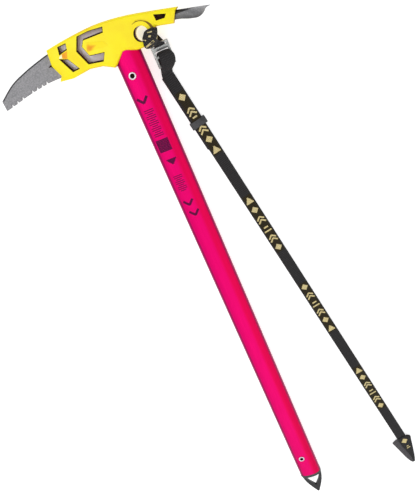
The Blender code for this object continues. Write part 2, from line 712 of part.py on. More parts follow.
def make_strap(parent, webbing):
    side = Vector((0, 0, 1)).cross(strap_direction())
    distances = [0.0, 0.0300, 0.0600, TAIL_LENGTH]
    distances += [TAIL_LENGTH + 0.0040 * i for i in range(1, 11)]
    distances += [0.2000 + (STRAP_LENGTH - 0.2000) * i / 8 for i in range(9)]
    for ply, name in ((1, "strap_front"), (0, "strap_back")):
        points = [on_strap(d, settled(d, ply)) for d in distances]
        bm = ribbon(points, lambda i: WEB_WIDTH, lambda i: side, WEB_THICKNESS)
        place_on(parent, add_object(name, mesh_from(bm, name, 50), webbing, parent))
    points = [on_strap(TAIL_LENGTH * i / 6, PLY_HEIGHTS[0], -TAIL_SHIFT) for i in range(7)]
    bm = ribbon(points, lambda i: WEB_WIDTH, lambda i: side, WEB_THICKNESS)
    place_on(parent, add_object("strap_tail", mesh_from(bm, "strap_tail", 50), webbing, parent))


def make_wrist_fold(parent, webbing):
    """End of the doubled webbing, folded to a point that holds the wrist loop open."""
    lip = 0.0030
    near, far = WRIST_FOLD_BARBS
    outline = [(-far, 0.0026), (0.0006 - far, 0.0006), (-0.0092, -0.0024), (WEB_WIDTH / 2, -lip),
               (near - 0.0010, 0.0), (near, 0.0016), (0.0105, 0.0437), (0.0078, 0.0526),
               (0.0058, WRIST_FOLD_LENGTH), (0.0034, WRIST_FOLD_LENGTH - 0.0006),
               (0.0014, 0.0521), (-0.0026, 0.0416)]
    ahead = strap_direction()
    turn = math.atan2(ahead.y, ahead.x) - math.pi / 2
    start = on_strap(STRAP_LENGTH + lip + GAP, 0.0)
    frame = Matrix.Translation(start) @ Matrix.Rotation(turn, 4, "Z")
    bm = prism(outline, 0.0006, 0.0006 + WRIST_FOLD_THICKNESS)
    bm.transform(frame)
    place_on(parent, add_object("wrist_fold", mesh_from(bm, "wrist_fold", 30), webbing, parent))


def make_keeper(parent, plastic):
    """Flat sleeve that slides along the strap."""
    across, along = KEEPER_SIZE
    top = PLY_HEIGHTS[2] + WEB_THICKNESS / 2 + GAP + KEEPER_WALL
    bottom = 0.0001
    inner = WEB_WIDTH / 2 + TAIL_SHIFT + GAP
    wall_top = top - KEEPER_WALL
    wall_bottom = bottom + KEEPER_WALL
    bm = prism(rectangle(-across / 2, across / 2, -along / 2, along / 2), bottom, top)
    ahead = strap_direction()
    turn = math.atan2(ahead.y, ahead.x) + math.pi / 2
    parent.matrix_world = (Matrix.Translation(on_strap(KEEPER_AT, 0.0))
                           @ Matrix.Rotation(turn, 4, "Z"))
    keeper = add_object("keeper", mesh_from(bm, "keeper", 30), plastic, parent)
    slot = rectangle(-inner, inner, -along, along)
    cut(keeper, cutter("keeper_slot", prism(slot, wall_bottom, wall_top), parent))
    round_edges(keeper, 0.0004)


def pivot(name, place):
    """Empty that stands on a joint's axis."""
    item = bpy.data.objects.new(name, None)
    bpy.context.scene.collection.objects.link(item)
    item.matrix_world = Matrix.Translation(place)
    return item


def rest_matrix():
    """Lays the axe's own frame on the surface."""
    turn = Matrix.Rotation(math.radians(-ROLL), 4, "Y") @ Matrix.Rotation(math.radians(PITCH), 4, "X")
    return Matrix.Translation(REST_SHIFT) @ turn


def build():
    clear_scene()
    steel = paint("pick_steel", (0.30, 0.30, 0.32), 0.42, 0.9)
    adze_steel = paint("adze_steel", (0.18, 0.18, 0.19), 0.40, 0.9)
    spike_steel = paint("spike_steel", (0.09, 0.09, 0.10), 0.45, 0.8)
    rivet_metal = paint("rivet_metal", (0.75, 0.70, 0.72), 0.25, 1.0)
    yellow = paint("cover_plastic", (0.93, 0.72, 0.02), 0.38, 0.0)
    pink = paint("shaft_paint", (0.78, 0.0, 0.16), 0.35, 0.2)
    insert_plastic = paint("insert_plastic", (0.05, 0.05, 0.05), 0.6, 0.0)
    webbing = paint("webbing", (0.04, 0.04, 0.045), 0.85, 0.0)
    buckle_steel = paint("buckle_steel", (0.42, 0.42, 0.43), 0.35, 1.0)

    axe = bpy.data.objects.new("axe", None)
    bpy.context.scene.collection.objects.link(axe)
    axe.matrix_world = rest_matrix()

    def drilled(name, radius, x, y, segments):
        """Cutter for a round hole through the whole head or shaft."""
        return cutter(name, rod(radius, -COVER_HALF_DEPTH - GAP, COVER_HALF_DEPTH + GAP,
                                x, y, segments), axe)

    head_hole = drilled("head_rivet_hole", RIVET_SHANK + GAP, RIVET_X, HEAD_RIVET_Y, 27)
    spike_hole = drilled("spike_rivet_hole", RIVET_SHANK + GAP, RIVET_X, SPIKE_RIVET_Y, 27)
    eye = drilled("eye", EYE_RADIUS, *EYE_CENTRE, 48)
    adze_holes = [drilled(f"adze_rivet_hole_{i + 1}", ADZE_RIVET_RADIUS, x,
                          ridge(x) - ADZE_RIVET_DROP, 24) for i, x in enumerate(ADZE_RIVETS)]

    make_head_plate(axe, steel, [head_hole, eye] + adze_holes)
    make_adze(axe, adze_steel, adze_holes)
    for i, x in enumerate(ADZE_RIVETS):
        make_adze_rivet(axe, rivet_metal, f"adze_rivet_{i + 1}", x)
    tools = cover_tools(axe, eye)
    make_cover_half(axe, yellow, "cover_front", 1, tools)
    make_cover_half(axe, yellow, "cover_back", -1, tools)
    make_shaft(axe, pink, [head_hole, spike_hole])
    make_inserts(axe, insert_plastic, "head", -0.0330, SHAFT_TOP - 0.0010, head_hole, PLATE_THICKNESS)
    make_inserts(axe, insert_plastic, "spike", SHAFT_END + GAP, SPIKE_RIVET_Y + 0.0330, spike_hole,
                 SPIKE_THICKNESS)
    make_rivet(axe, rivet_metal, "head_rivet", HEAD_RIVET_Y)
    make_rivet(axe, rivet_metal, "spike_rivet", SPIKE_RIVET_Y)
    make_spike(axe, spike_steel, spike_hole)

    make_anchor_loop(pivot("loop_swing_axis", rest_matrix() @ Vector((*EYE_CENTRE, 0))), webbing)
    buckle_pivot = pivot("buckle_tilt_axis", BUCKLE_TOP)
    make_buckle(buckle_pivot, buckle_steel)
    make_fold(buckle_pivot, webbing)
    make_strap(buckle_pivot, webbing)
    make_wrist_fold(buckle_pivot, webbing)
    make_keeper(pivot("keeper_slide_axis", (0, 0, 0)), insert_plastic)


build()
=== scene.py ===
"""Looks of the ice axe and its webbing leash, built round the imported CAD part. Metres, +Z up."""

import math

import bmesh
import bpy
from mathutils import Matrix, Vector


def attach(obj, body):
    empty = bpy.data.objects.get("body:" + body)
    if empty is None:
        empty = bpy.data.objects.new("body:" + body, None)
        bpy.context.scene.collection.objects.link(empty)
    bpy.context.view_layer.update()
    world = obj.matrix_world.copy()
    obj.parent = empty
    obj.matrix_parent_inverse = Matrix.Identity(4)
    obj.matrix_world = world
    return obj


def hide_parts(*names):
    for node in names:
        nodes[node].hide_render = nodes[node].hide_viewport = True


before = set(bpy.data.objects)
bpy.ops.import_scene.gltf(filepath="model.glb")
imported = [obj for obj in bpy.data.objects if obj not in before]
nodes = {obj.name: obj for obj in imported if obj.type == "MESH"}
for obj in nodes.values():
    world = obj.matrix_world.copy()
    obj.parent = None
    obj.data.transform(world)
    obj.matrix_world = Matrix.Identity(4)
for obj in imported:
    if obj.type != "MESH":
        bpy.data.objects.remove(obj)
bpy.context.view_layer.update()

# The axe's own frame as it rests: +X to the adze, +Y up the shaft, +Z out of the front face
LEAN = math.radians(5.04)               # turn of the front face towards the pick
SLOPE = math.radians(0.32)
AXE = (Matrix.Translation((0.02557, 0.30702, 0.01552))
       @ Matrix.Rotation(-LEAN, 4, "Y") @ Matrix.Rotation(SLOPE, 4, "X"))
SHAFT_HALF_WIDTH = 0.0158
SHAFT_HALF_DEPTH = 0.0104
SHAFT_ROUNDNESS = 2.7                   # exponent of the section's superellipse
SHAFT_END = -0.6375
PLATE_HALF = 0.0020
COVER_FACE = 0.0134                     # highest part of the cover over the middle plane
EYE = (0.0240, 0.0364)
EYE_RADIUS = 0.0083

# Leash
WEB = 0.0144                            # width of the tape
WEB_THICKNESS = 0.0015
TAPE_STEPS = 14                         # steps across a tape
PLY_CROWN = 0.00012                     # rise of the upper ply's middle
STRAP_TOP = Vector((0.0577, 0.2919, 0))
STRAP_TURN = math.radians(10.62)
STRAP_LENGTH = 0.6395
TAIL_LENGTH = 0.0990
TAIL_SHIFT = 0.0013
WRIST_START = STRAP_LENGTH + 0.0033
PLY_HEIGHTS = (0.0022, 0.0040, 0.0058)  # tail, lower ply and upper ply, where all three lie
SETTLED_HEIGHTS = (0.0024, 0.0042)      # lower and upper ply past the tail
ALONG = Vector((math.sin(STRAP_TURN), -math.cos(STRAP_TURN), 0))
ACROSS = Vector((math.cos(STRAP_TURN), math.sin(STRAP_TURN), 0))
BAR = Vector((0.0619, 0.3276, 0.0130))  # middle of the buckle's top bar


# ---------------------------------------------------------------- materials

class Look:
    """A Principled material, with short calls that add procedural detail to it."""

    def __init__(self, name, colour, roughness, metallic=0.0):
        self.material = bpy.data.materials.new(name)
        self.material.use_nodes = True
        self.tree = self.material.node_tree
        self.shader = self.tree.nodes["Principled BSDF"]
        self.set("Base Color", (*colour, 1.0))
        self.set("Roughness", roughness)
        self.set("Metallic", metallic)
        self.place = self.node("ShaderNodeTexCoord").outputs["Object"]
        self.normal = None

    def set(self, socket, value):
        self.shader.inputs[socket].default_value = value

    def node(self, kind, **settings):
        made = self.tree.nodes.new(kind)
        for key, value in settings.items():
            setattr(made, key, value)
        return made

    def feed(self, socket, value):
        if isinstance(value, bpy.types.NodeSocket):
            self.tree.links.new(value, socket)
        else:
            socket.default_value = value

    def math(self, operation, a, b=0.0):
        made = self.node("ShaderNodeMath", operation=operation)
        self.feed(made.inputs[0], a)
        self.feed(made.inputs[1], b)
        return made.outputs[0]

    def part(self, vector, axis):
        made = self.node("ShaderNodeSeparateXYZ")
        self.feed(made.inputs[0], vector)
        return made.outputs[axis]

    def noise(self, scale, stretch=(1, 1, 1), detail=3.0, vector=None):
        mapping = self.node("ShaderNodeMapping")
        self.feed(mapping.inputs["Vector"], vector or self.place)
        mapping.inputs["Scale"].default_value = stretch
        made = self.node("ShaderNodeTexNoise")
        self.feed(made.inputs["Vector"], mapping.outputs[0])
        made.inputs["Scale"].default_value = scale
        made.inputs["Detail"].default_value = detail
        return made.outputs[0]

    def span(self, value, low, high, to_low=0.0, to_high=1.0):
        made = self.node("ShaderNodeMapRange", interpolation_type="SMOOTHSTEP")
        for socket, number in zip(made.inputs, (value, low, high, to_low, to_high)):
            self.feed(socket, number)
        return made.outputs[0]

    def mix(self, value, a, b):
        made = self.node("ShaderNodeMix", data_type="RGBA")
        self.feed(made.inputs["Factor"], value)
        colours = [s for s in made.inputs if s.type == "RGBA"]
        for socket, colour in zip(colours, (a, b)):
            plain = not isinstance(colour, bpy.types.NodeSocket)
            self.feed(socket, (*colour, 1.0) if plain else colour)
        return [s for s in made.outputs if s.type == "RGBA"][0]

    def colour(self, value):
        self.feed(self.shader.inputs["Base Color"], value)
        return self

    def rough(self, value, low, high):
        self.feed(self.shader.inputs["Roughness"], self.span(value, 0.25, 0.75, low, high))
        return self

    def bump(self, value, strength, distance):
        made = self.node("ShaderNodeBump")
        made.inputs["Strength"].default_value = strength
        made.inputs["Distance"].default_value = distance
        self.feed(made.inputs["Height"], value)
        if self.normal:
            self.feed(made.inputs["Normal"], self.normal)
        self.normal = made.outputs[0]
        self.feed(self.shader.inputs["Normal"], self.normal)
        return self

    def in_axe(self):
        """The place in the axe's own frame."""
        turn = AXE.inverted()
        mapping = self.node("ShaderNodeMapping", vector_type="POINT")
        self.feed(mapping.inputs["Vector"], self.place)
        mapping.inputs["Rotation"].default_value = turn.to_euler("XYZ")
        mapping.inputs["Location"].default_value = turn.to_translation()
        return mapping.outputs[0]


def shaft_paint():
    """Satin anodised magenta, drawn lengthwise; painted shade makes it a little redder towards the
    adze side and dark along both edges of the front.
    """
    look = Look("shaft_anodised", (0.80, 0.0, 0.16), 0.42, 0.35)
    look.set("Specular IOR Level", 0.06)
    x = look.part(look.in_axe(), 0)
    lines = look.noise(90, (18, 0.5, 18), 4)
    # Painted shade: a little redder towards the adze side
    side = look.span(x, 0.0015, 0.0080)
    # Painted shade: dark along both edges of the front, where the section turns away
    edge = look.span(look.math("ABSOLUTE", look.math("SUBTRACT", x, 0.0011)), 0.0120, 0.0136)
    base = look.mix(side, (0.79, 0.0, 0.150), (0.74, 0.0, 0.072))
    base = look.mix(look.span(lines, 0.3, 0.8, 0.0, 0.25), base, (0.60, 0.0, 0.10))
    look.colour(look.mix(look.math("MULTIPLY", edge, 0.85), base, (0.24, 0.0, 0.075)))
    look.rough(lines, 0.36, 0.50).bump(lines, 0.10, 0.0002)
    return look.material


def cover_plastic():
    """Satin yellow moulded plastic, with painted shade: orange where its walls fall away below the
    face.
    """
    look = Look("cover_moulded", (0.95, 0.72, 0.03), 0.45)
    look.set("Specular IOR Level", 0.25)
    place = look.in_axe()
    z = look.math("ABSOLUTE", look.part(place, 2))
    x = look.part(place, 0)
    face = look.math("ADD", look.span(x, -0.0900, -0.0120, 0.0060, 0.0124),
                     look.span(x, 0.0360, 0.0750, 0.0, -0.0032))
    # Painted shade: how far the surface lies below the face
    depth = look.span(look.math("SUBTRACT", face, z), 0.0002, 0.0034)
    cloud = look.noise(45, detail=2)
    grain = look.noise(1500, detail=2)
    base = look.mix(look.span(cloud, 0.35, 0.7), (0.96, 0.82, 0.008), (0.93, 0.74, 0.010))
    # Painted shade mixed in as orange
    look.colour(look.mix(look.math("MULTIPLY", depth, 0.9), base, (0.66, 0.24, 0.002)))
    look.rough(cloud, 0.34, 0.46).bump(grain, 0.12, 0.0001)
    look.set("Subsurface Weight", 0.06)
    look.set("Subsurface Radius", (0.004, 0.003, 0.0005))
    look.set("Subsurface Scale", 1.0)
    return look.material


def cover_shade():
    """The same plastic with painted shade: orange round one spot of the side window's boss, fading
    to yellow away from it.
    """
    look = Look("cover_painted_shade", (0.88, 0.40, 0.01), 0.45)
    look.set("Specular IOR Level", 0.25)
    place = look.in_axe()
    cloud = look.noise(160, detail=3)
    # Painted shade: orange nearest one spot of the boss, yellow some 6 mm away
    far = look.math("ABSOLUTE", look.math("ADD", look.part(place, 0), 0.0345))
    away = look.math("ABSOLUTE", look.math("SUBTRACT", look.part(place, 1), 0.0446))
    spread = look.math("ADD", look.math("MULTIPLY", far, 0.55), away)
    shaded_orange = look.mix(look.span(cloud, 0.3, 0.7), (0.90, 0.42, 0.006), (0.80, 0.28, 0.006))
    look.colour(look.mix(look.span(spread, 0.0012, 0.0060), shaded_orange, (0.94, 0.76, 0.008)))
    look.rough(cloud, 0.38, 0.5).bump(look.noise(1500, detail=2), 0.12, 0.0001)
    return look.material


def steel(name, light, dark, roughness, metallic, line_stretch, scratch=0.25, tint=None):
    """Ground or pressed steel: mottled, with fine grinding lines. tint(look, colour) may
    change the colour from place to place; the pick plate's tint paints light and the adze's paints
    shade."""
    look = Look(name, light, roughness, metallic)
    mottle = look.noise(650, detail=6)
    lines = look.noise(120, line_stretch, 4)
    base = look.mix(look.span(mottle, 0.35, 0.68), light, dark)
    base = look.mix(look.span(lines, 0.55, 0.8, 0.0, scratch), base, [c * 1.6 for c in light])
    look.colour(tint(look, base) if tint else base)
    look.rough(mottle, roughness - 0.07, roughness + 0.09)
    look.bump(lines, 0.12, 0.00012).bump(look.noise(2200, detail=2), 0.08, 0.00006)
    return look.material


def clouded(name, base, roughness, specular, scale, light, dark, rough=None, grain=None):
    """Plain material whose colour drifts in clouds of a given scale. rough is the range of
    its roughness, and grain the scale, detail and strength of its fine relief."""
    look = Look(name, base, roughness)
    look.set("Specular IOR Level", specular)
    cloud = look.noise(scale)
    look.colour(look.mix(look.span(cloud, 0.3, 0.7), light, dark))
    if rough:
        look.rough(cloud, *rough)
    if grain:
        fine, detail, strength = grain
        look.bump(look.noise(fine, detail=detail), strength, 0.0001)
    return look.material


def plate_painted_light(look, base):
    """Painted light: brighter where the plate runs inside the cover."""
    covered = look.span(look.part(look.in_axe(), 0), -0.0830, -0.0740)
    # Painted light on the plate inside the cover
    return look.mix(look.math("MULTIPLY", covered, 0.85), base, (0.70, 0.665, 0.69))


def adze_painted_shade(look, base):
    """Painted shade: nearly black where the fold of the sheet runs into the cover, and darker to
    its low edge.
    """
    place = look.in_axe()
    x, y = look.part(place, 0), look.part(place, 1)
    fold = look.math("ADD", y, look.math("MULTIPLY", x, 0.067))
    # Painted shade in the fold by the cover
    dark = look.math("MULTIPLY", look.span(fold, 0.0445, 0.0454), look.span(x, 0.0915, 0.0870))
    # Painted shade towards the low edge
    low = look.span(look.math("ADD", y, look.math("MULTIPLY", x, 0.42)), 0.0720, 0.0625, 0.0, 0.9)
    base = look.mix(low, base, (0.075, 0.075, 0.078))
    return look.mix(dark, base, (0.008, 0.007, 0.008))


def woven(name, light, dark, pitch=0.0016, fuzz=0.5):
    """Woven tape: warp ribs crossed by picks, in the tape's own directions."""
    look = Look(name, light, 0.85)
    look.set("Sheen Weight", 0.06)
    look.set("Sheen Roughness", 0.5)
    look.set("Specular IOR Level", 0.2)
    tape = look.node("ShaderNodeAttribute", attribute_name="tape").outputs["Vector"]
    across, along = look.part(tape, 0), look.part(tape, 1)
    turn = 2 * math.pi / pitch
    ribs = look.math("SINE", look.math("MULTIPLY", across, turn))
    zigzag = look.math("MULTIPLY", look.math("ABSOLUTE", ribs), 0.9)
    picks = look.math("SINE", look.math("ADD", look.math("MULTIPLY", along, turn * 0.72), zigzag))
    height = look.math("MULTIPLY", look.span(ribs, -1.0, 1.0),
                       look.span(picks, -1.0, 1.0, 0.35, 1.0))
    fibres = look.noise(2600, detail=3)
    cloud = look.noise(55, detail=3)
    base = look.mix(look.span(height, 0.1, 0.9), dark, light)
    base = look.mix(look.span(fibres, 0.45, 0.75, 0.0, fuzz), base, [c * 1.7 for c in light])
    look.colour(look.mix(look.span(cloud, 0.35, 0.75, 0.0, 0.35), base, [c * 0.6 for c in light]))
    look.rough(fibres, 0.75, 0.95).bump(height, 0.8, 0.00035).bump(fibres, 0.3, 0.0001)
    return look.material


def print_ink():
    """Thin dark print on the shaft, a little uneven."""
    look = Look("shaft_print", (0.07, 0.0, 0.035), 0.5)
    look.set("Specular IOR Level", 0.1)
    cloud = look.noise(900, detail=4)
    look.colour(look.mix(look.span(cloud, 0.35, 0.7), (0.070, 0.001, 0.036), (0.15, 0.0, 0.060)))
    look.rough(cloud, 0.35, 0.5)
    return look.material


def floor_look():
    """Pale paper over a softly lit table."""
    look = Look("floor_paper", (0.72, 0.72, 0.72), 0.8)
    cloud = look.noise(3, detail=2)
    look.colour(look.mix(look.span(cloud, 0.3, 0.7), (0.72, 0.72, 0.72), (0.69, 0.69, 0.695)))
    look.set("Emission Color", (1.0, 1.0, 1.0, 1.0))
    look.set("Emission Strength", 0.62)
    return look.material


PAINT = shaft_paint()
INK = print_ink()
YELLOW = cover_plastic()
# Yellow plastic with painted shade, for the side window's boss
PAINTED_SHADE_PLASTIC = cover_shade()
# The same plastic where a fold of the moulding shades it
ORANGE = clouded("cover_shaded", (0.88, 0.36, 0.01), 0.45, 0.25, 220, (0.92, 0.46, 0.010),
                 (0.84, 0.28, 0.006), (0.38, 0.5), (1500, 2, 0.12))
# Painted highlight: pale, smoother plastic where the bridge's edge catches the light
GLINT = clouded("cover_painted_highlight", (0.98, 0.92, 0.62), 0.3, 0.5, 500, (0.98, 0.93, 0.70),
                (0.97, 0.84, 0.30), (0.22, 0.4))
# Shaded floor of the groove round the eye
TAN = clouded("groove_shade", (0.30, 0.19, 0.03), 0.6, 0.15, 300, (0.30, 0.18, 0.020),
              (0.15, 0.085, 0.010))
# Painted shade: dark plastic for the shade at the foot of a recess
SHADE = clouded("recess_shade", (0.02, 0.008, 0.004), 0.8, 0.1, 400, (0.012, 0.004, 0.003),
                (0.045, 0.014, 0.005), None, (400, 3, 0.2))
# Matte black plastic of the inserts, the keeper and the shaft's end
BLACK = clouded("black_moulded", (0.03, 0.03, 0.032), 0.5, 0.5, 300, (0.022, 0.022, 0.025),
                (0.05, 0.05, 0.054), (0.42, 0.58), (1800, 2, 0.15))
# The pick plate carries painted light inside the cover
PICK = steel("pick_ground", (0.27, 0.265, 0.275), (0.20, 0.20, 0.21), 0.50, 0.35, (2, 30, 2), 0.25,
             plate_painted_light)
# The adze's steel carries painted shade
ADZE = steel("adze_pressed", (0.22, 0.22, 0.23), (0.15, 0.15, 0.155), 0.40, 0.35, (3, 30, 3), 0.25,
             adze_painted_shade)
SPIKE = steel("spike_blackened", (0.030, 0.030, 0.033), (0.018, 0.018, 0.02), 0.42, 0.5, (30, 3, 3))
# Painted shade, for the chamfer along the pick's top edge
CHAMFER = steel("chamfer_painted_shade", (0.020, 0.020, 0.021), (0.010, 0.010, 0.011), 0.5, 0.3,
                (9, 9, 9))
RIVET = steel("rivet_bright", (0.80, 0.72, 0.77), (0.62, 0.56, 0.60), 0.30, 0.75, (9, 9, 9))
BUCKLE = steel("buckle_cast", (0.50, 0.51, 0.50), (0.29, 0.30, 0.29), 0.38, 0.7, (14, 14, 14), 0.5)
WEBBING = woven("black_webbing", (0.043, 0.041, 0.043), (0.008, 0.008, 0.008))
WEB_INSIDE = woven("webbing_inside", (0.125, 0.117, 0.124), (0.030, 0.028, 0.031), 0.0018, 0.7)
BAND = woven("sign_band", (0.040, 0.030, 0.012), (0.010, 0.008, 0.004))
MARK = woven("woven_mark", (0.90, 0.80, 0.48), (0.46, 0.35, 0.11), 0.0013, 0.3)


# ---------------------------------------------------------------- shapes

def placed(name, data):
    """A new object in the scene."""
    item = bpy.data.objects.new(name, data)
    bpy.context.scene.collection.objects.link(item)
    return item


def put(name, bm, material, body, smooth):
    """A finished piece: closed, facing out, riding on its body."""
    bmesh.ops.recalc_face_normals(bm, faces=bm.faces[:])
    mesh = bpy.data.meshes.new(name)
    bm.to_mesh(mesh)
    bm.free()
    for each in material if isinstance(material, (list, tuple)) else [material]:
        mesh.materials.append(each)
    mesh.shade_smooth()
    mesh.set_sharp_from_angle(angle=math.radians(smooth))
    item = placed(name, mesh)
    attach(item, body)
    return item


def refined(node, material, body, width, segments, angle):
    """A copy of a CAD node with its edges rounded, which stands for it."""
    bm = bmesh.new()
    bm.from_mesh(nodes[node].data)
    bmesh.ops.remove_doubles(bm, verts=bm.verts[:], dist=0.000005)
    bmesh.ops.dissolve_limit(bm, angle_limit=math.radians(0.6), verts=bm.verts[:],
                             edges=bm.edges[:])
    item = put(node + "_finished", bm, material, body, angle)
    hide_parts(node)
    edge = item.modifiers.new("rounded", "BEVEL")
    edge.width = width
    edge.segments = segments
    edge.limit_method = "ANGLE"
    edge.angle_limit = math.radians(angle)
    edge.use_clamp_overlap = True
    edge.harden_normals = True
    return item


def catmull(points, steps):
    """Smooth curve through points of any number of values."""
    line = []
    for i in range(len(points) - 1):
        p0, p1 = points[max(i - 1, 0)], points[i]
        p2, p3 = points[i + 1], points[min(i + 2, len(points) - 1)]
        for k in range(steps):
            t = k / steps
            line.append(tuple(
                0.5 * (2 * b + (c - a) * t + (2 * a - 5 * b + 4 * c - d) * t * t
                       + (3 * b - a - 3 * c + d) * t ** 3) for a, b, c, d in zip(p0, p1, p2, p3)))
    line.append(tuple(points[-1]))
    return line


def ease(t):
    """Smooth step from 0 to 1."""
    t = min(max(t, 0.0), 1.0)
    return t * t * (3 - 2 * t)


def skin(bm, loops, around=False):
    """Faces between loops of equally many points: a ring if around, and otherwise a solid
    with both its ends closed."""
    for a, b in zip(loops, loops[1:] + (loops[:1] if around else [])):
        for k in range(len(a)):
            m = (k + 1) % len(a)
            bm.faces.new((a[k], a[m], b[m], b[k]))
    if not around:
        bm.faces.new(loops[0])
        bm.faces.new(reversed(loops[-1]))


def round_tape():
    """Steps round a tape's section: share of its width, and of its half thickness."""
    for side in (1, -1):
        for k in range(TAPE_STEPS + 1) if side == 1 else range(TAPE_STEPS - 1, 0, -1):
            yield k / TAPE_STEPS, side * (1 - abs(2 * k / TAPE_STEPS - 1) ** 9) ** 0.5


def tape(name, rows, material=WEBBING, thickness=WEB_THICKNESS):
    """Webbing lofted through rows of (left, right, up, crown). Its long edges are rounded
    and its ends are closed; the point attribute tape holds the place across and along it."""
    bm = bmesh.new()
    layer = bm.verts.layers.float_vector.new("tape")
    rings = []
    along = 0.0
    last = None
    for left, right, up, crown in rows:
        middle = (left + right) / 2
        if last is not None:
            along += (middle - last).length
        last = middle
        ring = []
        for share, face in round_tape():
            u = 2 * share - 1
            lift = crown * (1 - u * u) + thickness / 2 * face
            vert = bm.verts.new(left.lerp(right, share) + up * lift)
            vert[layer] = (u * (right - left).length / 2, along, 0)
            ring.append(vert)
        rings.append(ring)
    skin(bm, rings)
    return put(name, bm, material, "leash", 60)


def band(points, widths, side_of, crown=0.0):
    """Rows for tape() along a centreline, with the direction across it at each point."""
    rows = []
    for i, point in enumerate(points):
        ahead, back = points[min(i + 1, len(points) - 1)], points[max(i - 1, 0)]
        side = side_of(i)
        up = side.cross((ahead - back).normalized()).normalized()
        half = side * widths[i] / 2
        rows.append((point - half, point + half, up, crown(i) if callable(crown) else crown))
    return rows


def slab(bm, outline, face, low, high):
    """Closed prism over an outline, from a low to a high lift off a face, which is given as
    face(x, y, lift)."""
    bottom = [bm.verts.new(face(*p, low)) for p in outline]
    top = [bm.verts.new(face(*p, high)) for p in outline]
    count = len(outline)
    for i in range(count):
        j = (i + 1) % count
        bm.faces.new((bottom[i], bottom[j], top[j], top[i]))
    bm.faces.new(list(reversed(bottom)))
    bm.faces.new(top)
    return bottom + top


def stroke(a, b, width):
    """Outline of a straight stroke between two points."""
    a, b = Vector(a), Vector(b)
    side = (b - a).normalized()
    side = Vector((-side.y, side.x)) * width / 2
    return [tuple(a - side), tuple(b - side), tuple(b + side), tuple(a + side)]


# ---------------------------------------------------------------- camera

camera_data = bpy.data.cameras.new("camera")
camera_data.sensor_fit = "VERTICAL"
camera_data.sensor_height = 36
camera_data.lens = 40
camera_data.clip_start = 0.01
camera = placed("camera", camera_data)
bpy.context.scene.camera = camera
# The photograph's viewpoint over the axe, and the directions ahead of it and up in it
CAMERA_PLACE = Vector((0.065964, 0.331195, 0.670747))
CAMERA_AHEAD = Vector((-0.065607, -0.356934, -0.931823))
CAMERA_UP = Vector((0.379655, 0.854673, -0.354113))
camera_side = CAMERA_AHEAD.cross(CAMERA_UP).normalized()
camera_up = camera_side.cross(CAMERA_AHEAD).normalized()
camera_turn = Matrix((camera_side, camera_up, -CAMERA_AHEAD)).transposed()
camera.matrix_world = Matrix.Translation(CAMERA_PLACE) @ camera_turn.to_4x4()


# ---------------------------------------------------------------- leash strap

def on_strap(distance, height, shift=0.0):
    """Place along the strap from its top, over the floor, and shifted to the adze side."""
    return STRAP_TOP + ALONG * distance + ACROSS * shift + Vector((0, 0, height))


def settled(distance, ply):
    """Height of the lower ply, 0, or the upper one, 1, which sink where the tail ends."""
    high = PLY_HEIGHTS[ply + 1]
    return high + (SETTLED_HEIGHTS[ply] - high) * ease((distance - TAIL_LENGTH) / 0.0400)


def ripple(distance):
    """Slight unevenness of the upper ply's height, none at its ends."""
    fade = ease(distance / 0.03) * ease((STRAP_LENGTH - distance) / 0.03)
    return 0.00016 * fade * (math.sin(distance * 61) + 0.6 * math.sin(distance * 137 + 1.3))


def make_plies():
    """The strap's two plies and its loose tail, and the line of the upper ply."""
    def lay(name, line, crown=0.0):
        rows = band(line, [WEB] * len(line), lambda i: ACROSS, crown)
        return tape(name, rows)

    steps, tail_steps = 160, 24
    distances = [STRAP_LENGTH * i / steps for i in range(steps + 1)]
    front = [on_strap(d, settled(d, 1) + abs(ripple(d))) for d in distances]
    back = [on_strap(d, settled(d, 0)) for d in distances]
    loose = [on_strap(TAIL_LENGTH * i / tail_steps, PLY_HEIGHTS[0], -TAIL_SHIFT)
             for i in range(tail_steps + 1)]
    upper = lay("strap_upper_ply", front, PLY_CROWN)
    lower = lay("strap_lower_ply", back)
    tail = lay("strap_loose_tail", loose)
    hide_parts("strap_front")
    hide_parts("strap_back")
    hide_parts("strap_tail")
    return upper, lower, tail, front


def motif(kind):
    """Strokes of one woven sign, none of them a letter, in (across, along)."""
    h, t = 0.0048, 0.0020
    solid = h / 2

    def row(half, place, width):
        return (-half, place), (half, place), width

    signs = {
        "lozenge": [((-solid, -solid), (solid, solid), h * 2 ** 0.5)],
        "chevrons": [((side * h, place + h * 0.45), (0.0, place - h * 0.45), t)
                     for side in (-1, 1) for place in (-h * 0.45, h * 0.55)],
        "bars": [row(h, h * 0.7, t), row(h * 0.6, -h * 0.5, t)],
        "wedge": [row(h * (1 - n / 5), h * (0.8 - n * 0.36), h * 0.38) for n in range(5)],
    }
    return signs[kind]


# Each group: where its first and last signs lie along the strap, and the signs
MARK_GROUPS = (
    (0.0295, 0.0485, ("lozenge", "chevrons")),
    (0.0590, 0.0590, ("bars",)),
    (0.0740, 0.1021, ("chevrons", "lozenge", "wedge")),
    (0.1810, 0.2570, ("wedge", "lozenge", "chevrons", "bars", "chevrons", "lozenge")),
    (0.3280, 0.4040, ("lozenge", "chevrons", "bars", "chevrons", "lozenge", "wedge")),
    (0.4900, 0.5660, ("wedge", "lozenge", "chevrons", "bars", "chevrons", "lozenge")),
)


def upper_face(across, along, lift):
    """Place on the upper ply's face."""
    top = settled(along, 1) + abs(ripple(along)) + WEB_THICKNESS / 2 + lift
    return on_strap(along, top + PLY_CROWN * (1 - (across / (WEB / 2)) ** 2), across)


def tape_place(made, layer):
    """Gives the points of a sign their place across and along the strap."""
    for vert in made:
        offset = vert.co - STRAP_TOP
        vert[layer] = (offset.dot(ACROSS), offset.dot(ALONG), 0)


